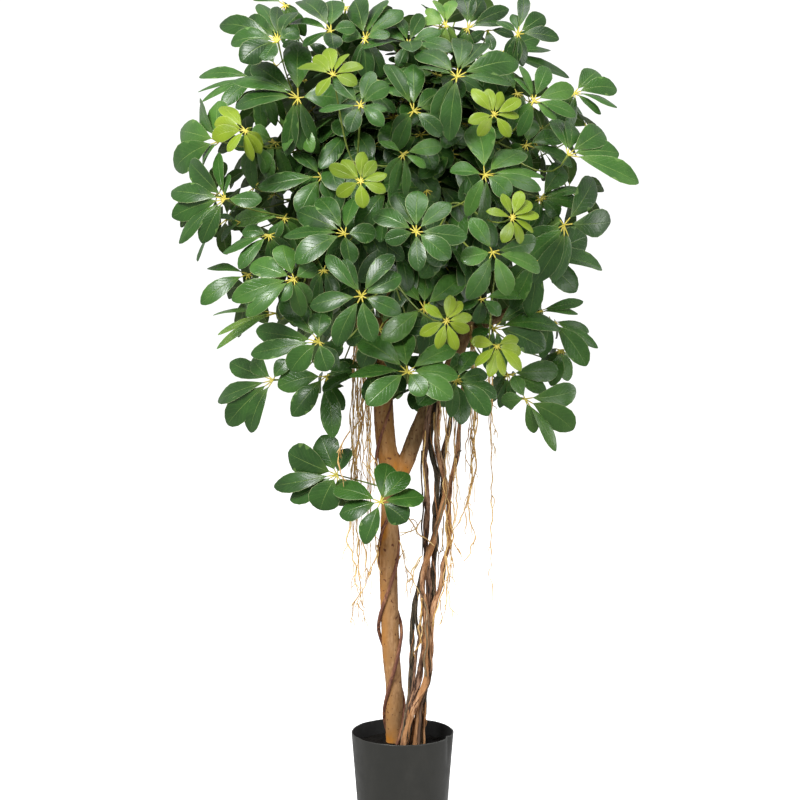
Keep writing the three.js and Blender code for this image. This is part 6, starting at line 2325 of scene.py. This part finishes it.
@dataclass
class Pot:
    """The moulded plastic pot and the soil in it."""

    height: float = 160
    rim_radius: float = 89
    base_radius: float = 76
    wall: float = 2.4
    floor: float = 3
    soil_drop: float = 25  # from the rim to the soil
    segments: int = 160
    soil_segments: int = 150
    crumbs: Numbers = (3.5, 7, 15)  # the soil's crumbs, from fine to coarse

    def radius(self, height: float) -> float:
        """The pot's outer radius at a height."""
        return lerp(self.base_radius, self.rim_radius, height / self.height)

    def moulded(self) -> Piece:
        """The pot: a plain tapered wall, turned, with a thin rounded lip.

        The lip waves by sines of the turn, and has a kink, exp(-(turn / width)^2), at two places. The inside
        takes a near-black plastic, which is painted shade in the pot's hollow.

        Returns:
            The pot.
        """
        top, lip = self.height, self.wall / 2
        wall = [(self.radius(z), z) for z in np.linspace(2.5, top - lip - 1, 14)]
        edge = [
            (self.rim_radius - lip + lip * math.cos(a), top - lip + lip * math.sin(a))
            for a in np.linspace(0, math.pi, 7)
        ]
        inner = [(self.radius(z) - self.wall, z) for z in np.linspace(top - lip - 1.5, self.floor + 1, 12)]
        profile = np.array([
            (0, 0), (self.radius(0) - 2.2, 0), (self.radius(0) - 0.7, 0.6), (self.radius(0), 2), *wall,
            *edge, *inner, (self.radius(self.floor) - self.wall - 1, self.floor), (0, self.floor),
        ])
        pot = turned(profile, self.segments)
        x, y, z = pot.points.T
        turn = np.arctan2(y, x)
        share = np.clip((z - 70) / (top - 70), 0, 1) ** 3
        wave = 0.5 * np.sin(3 * turn + 1) + 0.35 * np.sin(7 * turn + 2.4) + 0.2 * np.sin(16 * turn)
        kink = np.exp(-((turn + 0.43) / 0.075) ** 2) + 0.2 * np.exp(-((turn + 2.6) / 0.12) ** 2)
        pot.points[:, 2] += share * (0.5 * wave + 1.4 * kink)
        pot.points[:, :2] *= (1 + share * (0.003 * wave - 0.05 * kink))[:, None]
        # the faces inside the lip take slot 1, the near-black plastic of painted shade
        inside = 3 + len(wall) + len(edge) - 2
        pot.quad_slots = (np.arange(len(pot.quads)) // self.segments >= inside).astype(int)
        pot.tri_slots = np.repeat([0, 1], self.segments)
        return pot.made("pot_moulded", [Finish.PLASTIC.material(), Finish.INSIDE.material()])

    def filled(self) -> Piece:
        """The soil: a low heap, raised into crumbs by noise at three sizes.

        Returns:
            The soil.
        """
        top = self.height - self.soil_drop
        edge = self.radius(top) - self.wall - 1.3
        radii = np.linspace(edge, 2, 46)
        crest = [(r, top + 3 * math.sin(math.pi * min(r / edge, 1)) - 2 * (r / edge) ** 6) for r in radii]
        foot = self.floor + 0.5
        lower = [(0, foot), (self.radius(foot) - self.wall - 1.4, foot)]
        soil = turned(np.array([*lower, *crest, (0, top)]), self.soil_segments)
        up = soil.points[:, 2] > top - 6
        crumbs = sum(0.32 * size * np.abs(lattice_noise(soil.points, size, size)) for size in self.crumbs)
        soil.points[:, 2] += np.where(up, 1.3 * crumbs - 2.5, 0)
        return soil.made("soil_heap", [Finish.SOIL.material()])


# ---- The studio ----


@dataclass(frozen=True)
class Lamp:
    """A square soft light: its place and its side in metres, and its power in watts."""

    place: tuple[float, float, float]
    size: float
    power: float


@dataclass
class Studio:
    """The floor, the lights and the camera."""

    backdrop: float = 1.1  # how bright the sky looks
    sky: float = 0.48  # how much light it gives
    floor_radius: float = 12000
    floor_level: float = -1
    floor_corners: int = 96
    columns: float = 800  # of the front view
    lamps: dict[str, Lamp] = field(default_factory=lambda: {
        "key_light": Lamp((-1.5, -2.3, 3.0), 1.3, 146),
        "top_light": Lamp((0.3, -0.4, 4.0), 1.5, 38),
        "fill_light": Lamp((2.2, -1.9, 1.4), 1.6, 27),
        "side_light": Lamp((2.6, 0.4, 0.7), 1.0, 12),
    })

    def camera(self) -> None:
        """Places the camera at the front view's eye: the lens is the sensor's width times focal / columns."""
        data = bpy.data.cameras.new("front_camera")
        data.lens = data.sensor_width * VIEW.focal / self.columns
        data.clip_end = 60
        eye = linked("front_camera", data)
        eye.location = (VIEW.eye * MM).tolist()
        eye.rotation_euler = (math.pi / 2 + math.atan2(VIEW.aim[2], VIEW.aim[1]), 0, 0)
        bpy.context.scene.camera = eye

    def floor(self) -> None:
        """A wide round floor: corners at the turns 2 pi k / n, fanned from the middle."""
        count = self.floor_corners
        turn = 2 * np.pi * np.arange(count) / count
        level = np.full(count, self.floor_level)
        rim = np.stack([self.floor_radius * np.cos(turn), self.floor_radius * np.sin(turn), level], axis=1)
        points = np.concatenate([rim, [[0, 0, self.floor_level]]])
        mesh = bpy.data.meshes.new("floor")
        mesh.from_pydata((points * MM).tolist(), [], [(count, i, (i + 1) % count) for i in range(count)])
        mesh.materials.append(Finish.PAPER.material())
        floor = linked("floor", mesh)
        floor.visible_diffuse = False
        floor.visible_glossy = False

    def shine(self, name: str, lamp: Lamp) -> None:
        """Places a lamp so that it faces the crown.

        Args:
            name: the light's name.
            lamp: its place, side and power.
        """
        data = bpy.data.lights.new(name, "AREA")
        data.size = lamp.size
        data.energy = lamp.power
        light = linked(name, data)
        light.location = lamp.place
        x, y, z = vec(0, 0, 1.0) - np.array(lamp.place)
        slope = math.acos(-z / math.hypot(x, y, z))
        light.rotation_euler = (slope, 0, math.atan2(y, x) - math.pi / 2)

    def lit(self) -> None:
        """A white sky that looks bright and gives little light, and the lamps."""
        world = bpy.data.worlds.new("pale_sky")
        world.use_nodes = True
        tree = world.node_tree
        back = tree.nodes["Background"]
        back.inputs["Color"].default_value = (1, 1, 1, 1)
        seen = tree.nodes.new("ShaderNodeLightPath").outputs["Is Camera Ray"]
        strength = tree.nodes.new("ShaderNodeMapRange")
        tree.links.new(seen, strength.inputs["Value"])
        strength.inputs["To Min"].default_value = self.sky
        strength.inputs["To Max"].default_value = self.backdrop
        tree.links.new(strength.outputs["Result"], back.inputs["Strength"])
        bpy.context.scene.world = world
        for name, lamp in self.lamps.items():
            self.shine(name, lamp)
        bpy.context.scene.view_settings.view_transform = "Standard"


def main() -> None:
    """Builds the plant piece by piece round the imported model."""
    logging.basicConfig(level=logging.INFO, format="%(message)s")
    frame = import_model()
    studio = Studio()
    studio.camera()
    studio.floor()
    studio.lit()

    placed(Trunk().grown(), "trunk_bark", "trunk")
    for i, piece in enumerate(Vines().twined()):
        placed(piece, "vine_bark", f"twining_vine_{i + 1}")
    for i, piece in enumerate(Bundle().climbed()):
        slot = "brown_bark" if LIANAS[i].finish is Finish.BROWN else "dark_bark"
        placed(piece, slot, f"liana_{i + 1}")
    for i, piece in enumerate(AerialRoots().hung()):
        placed(piece, "aerial_root", f"aerial_root_{i + 1}")
    for piece, node, slot in Leafage().hung(frame):
        placed(piece, slot, node)
    pot = Pot()
    placed(pot.moulded(), "black_plastic", "pot")
    placed(pot.filled(), "potting_soil", "soil")


if __name__ == "__main__":
    main()
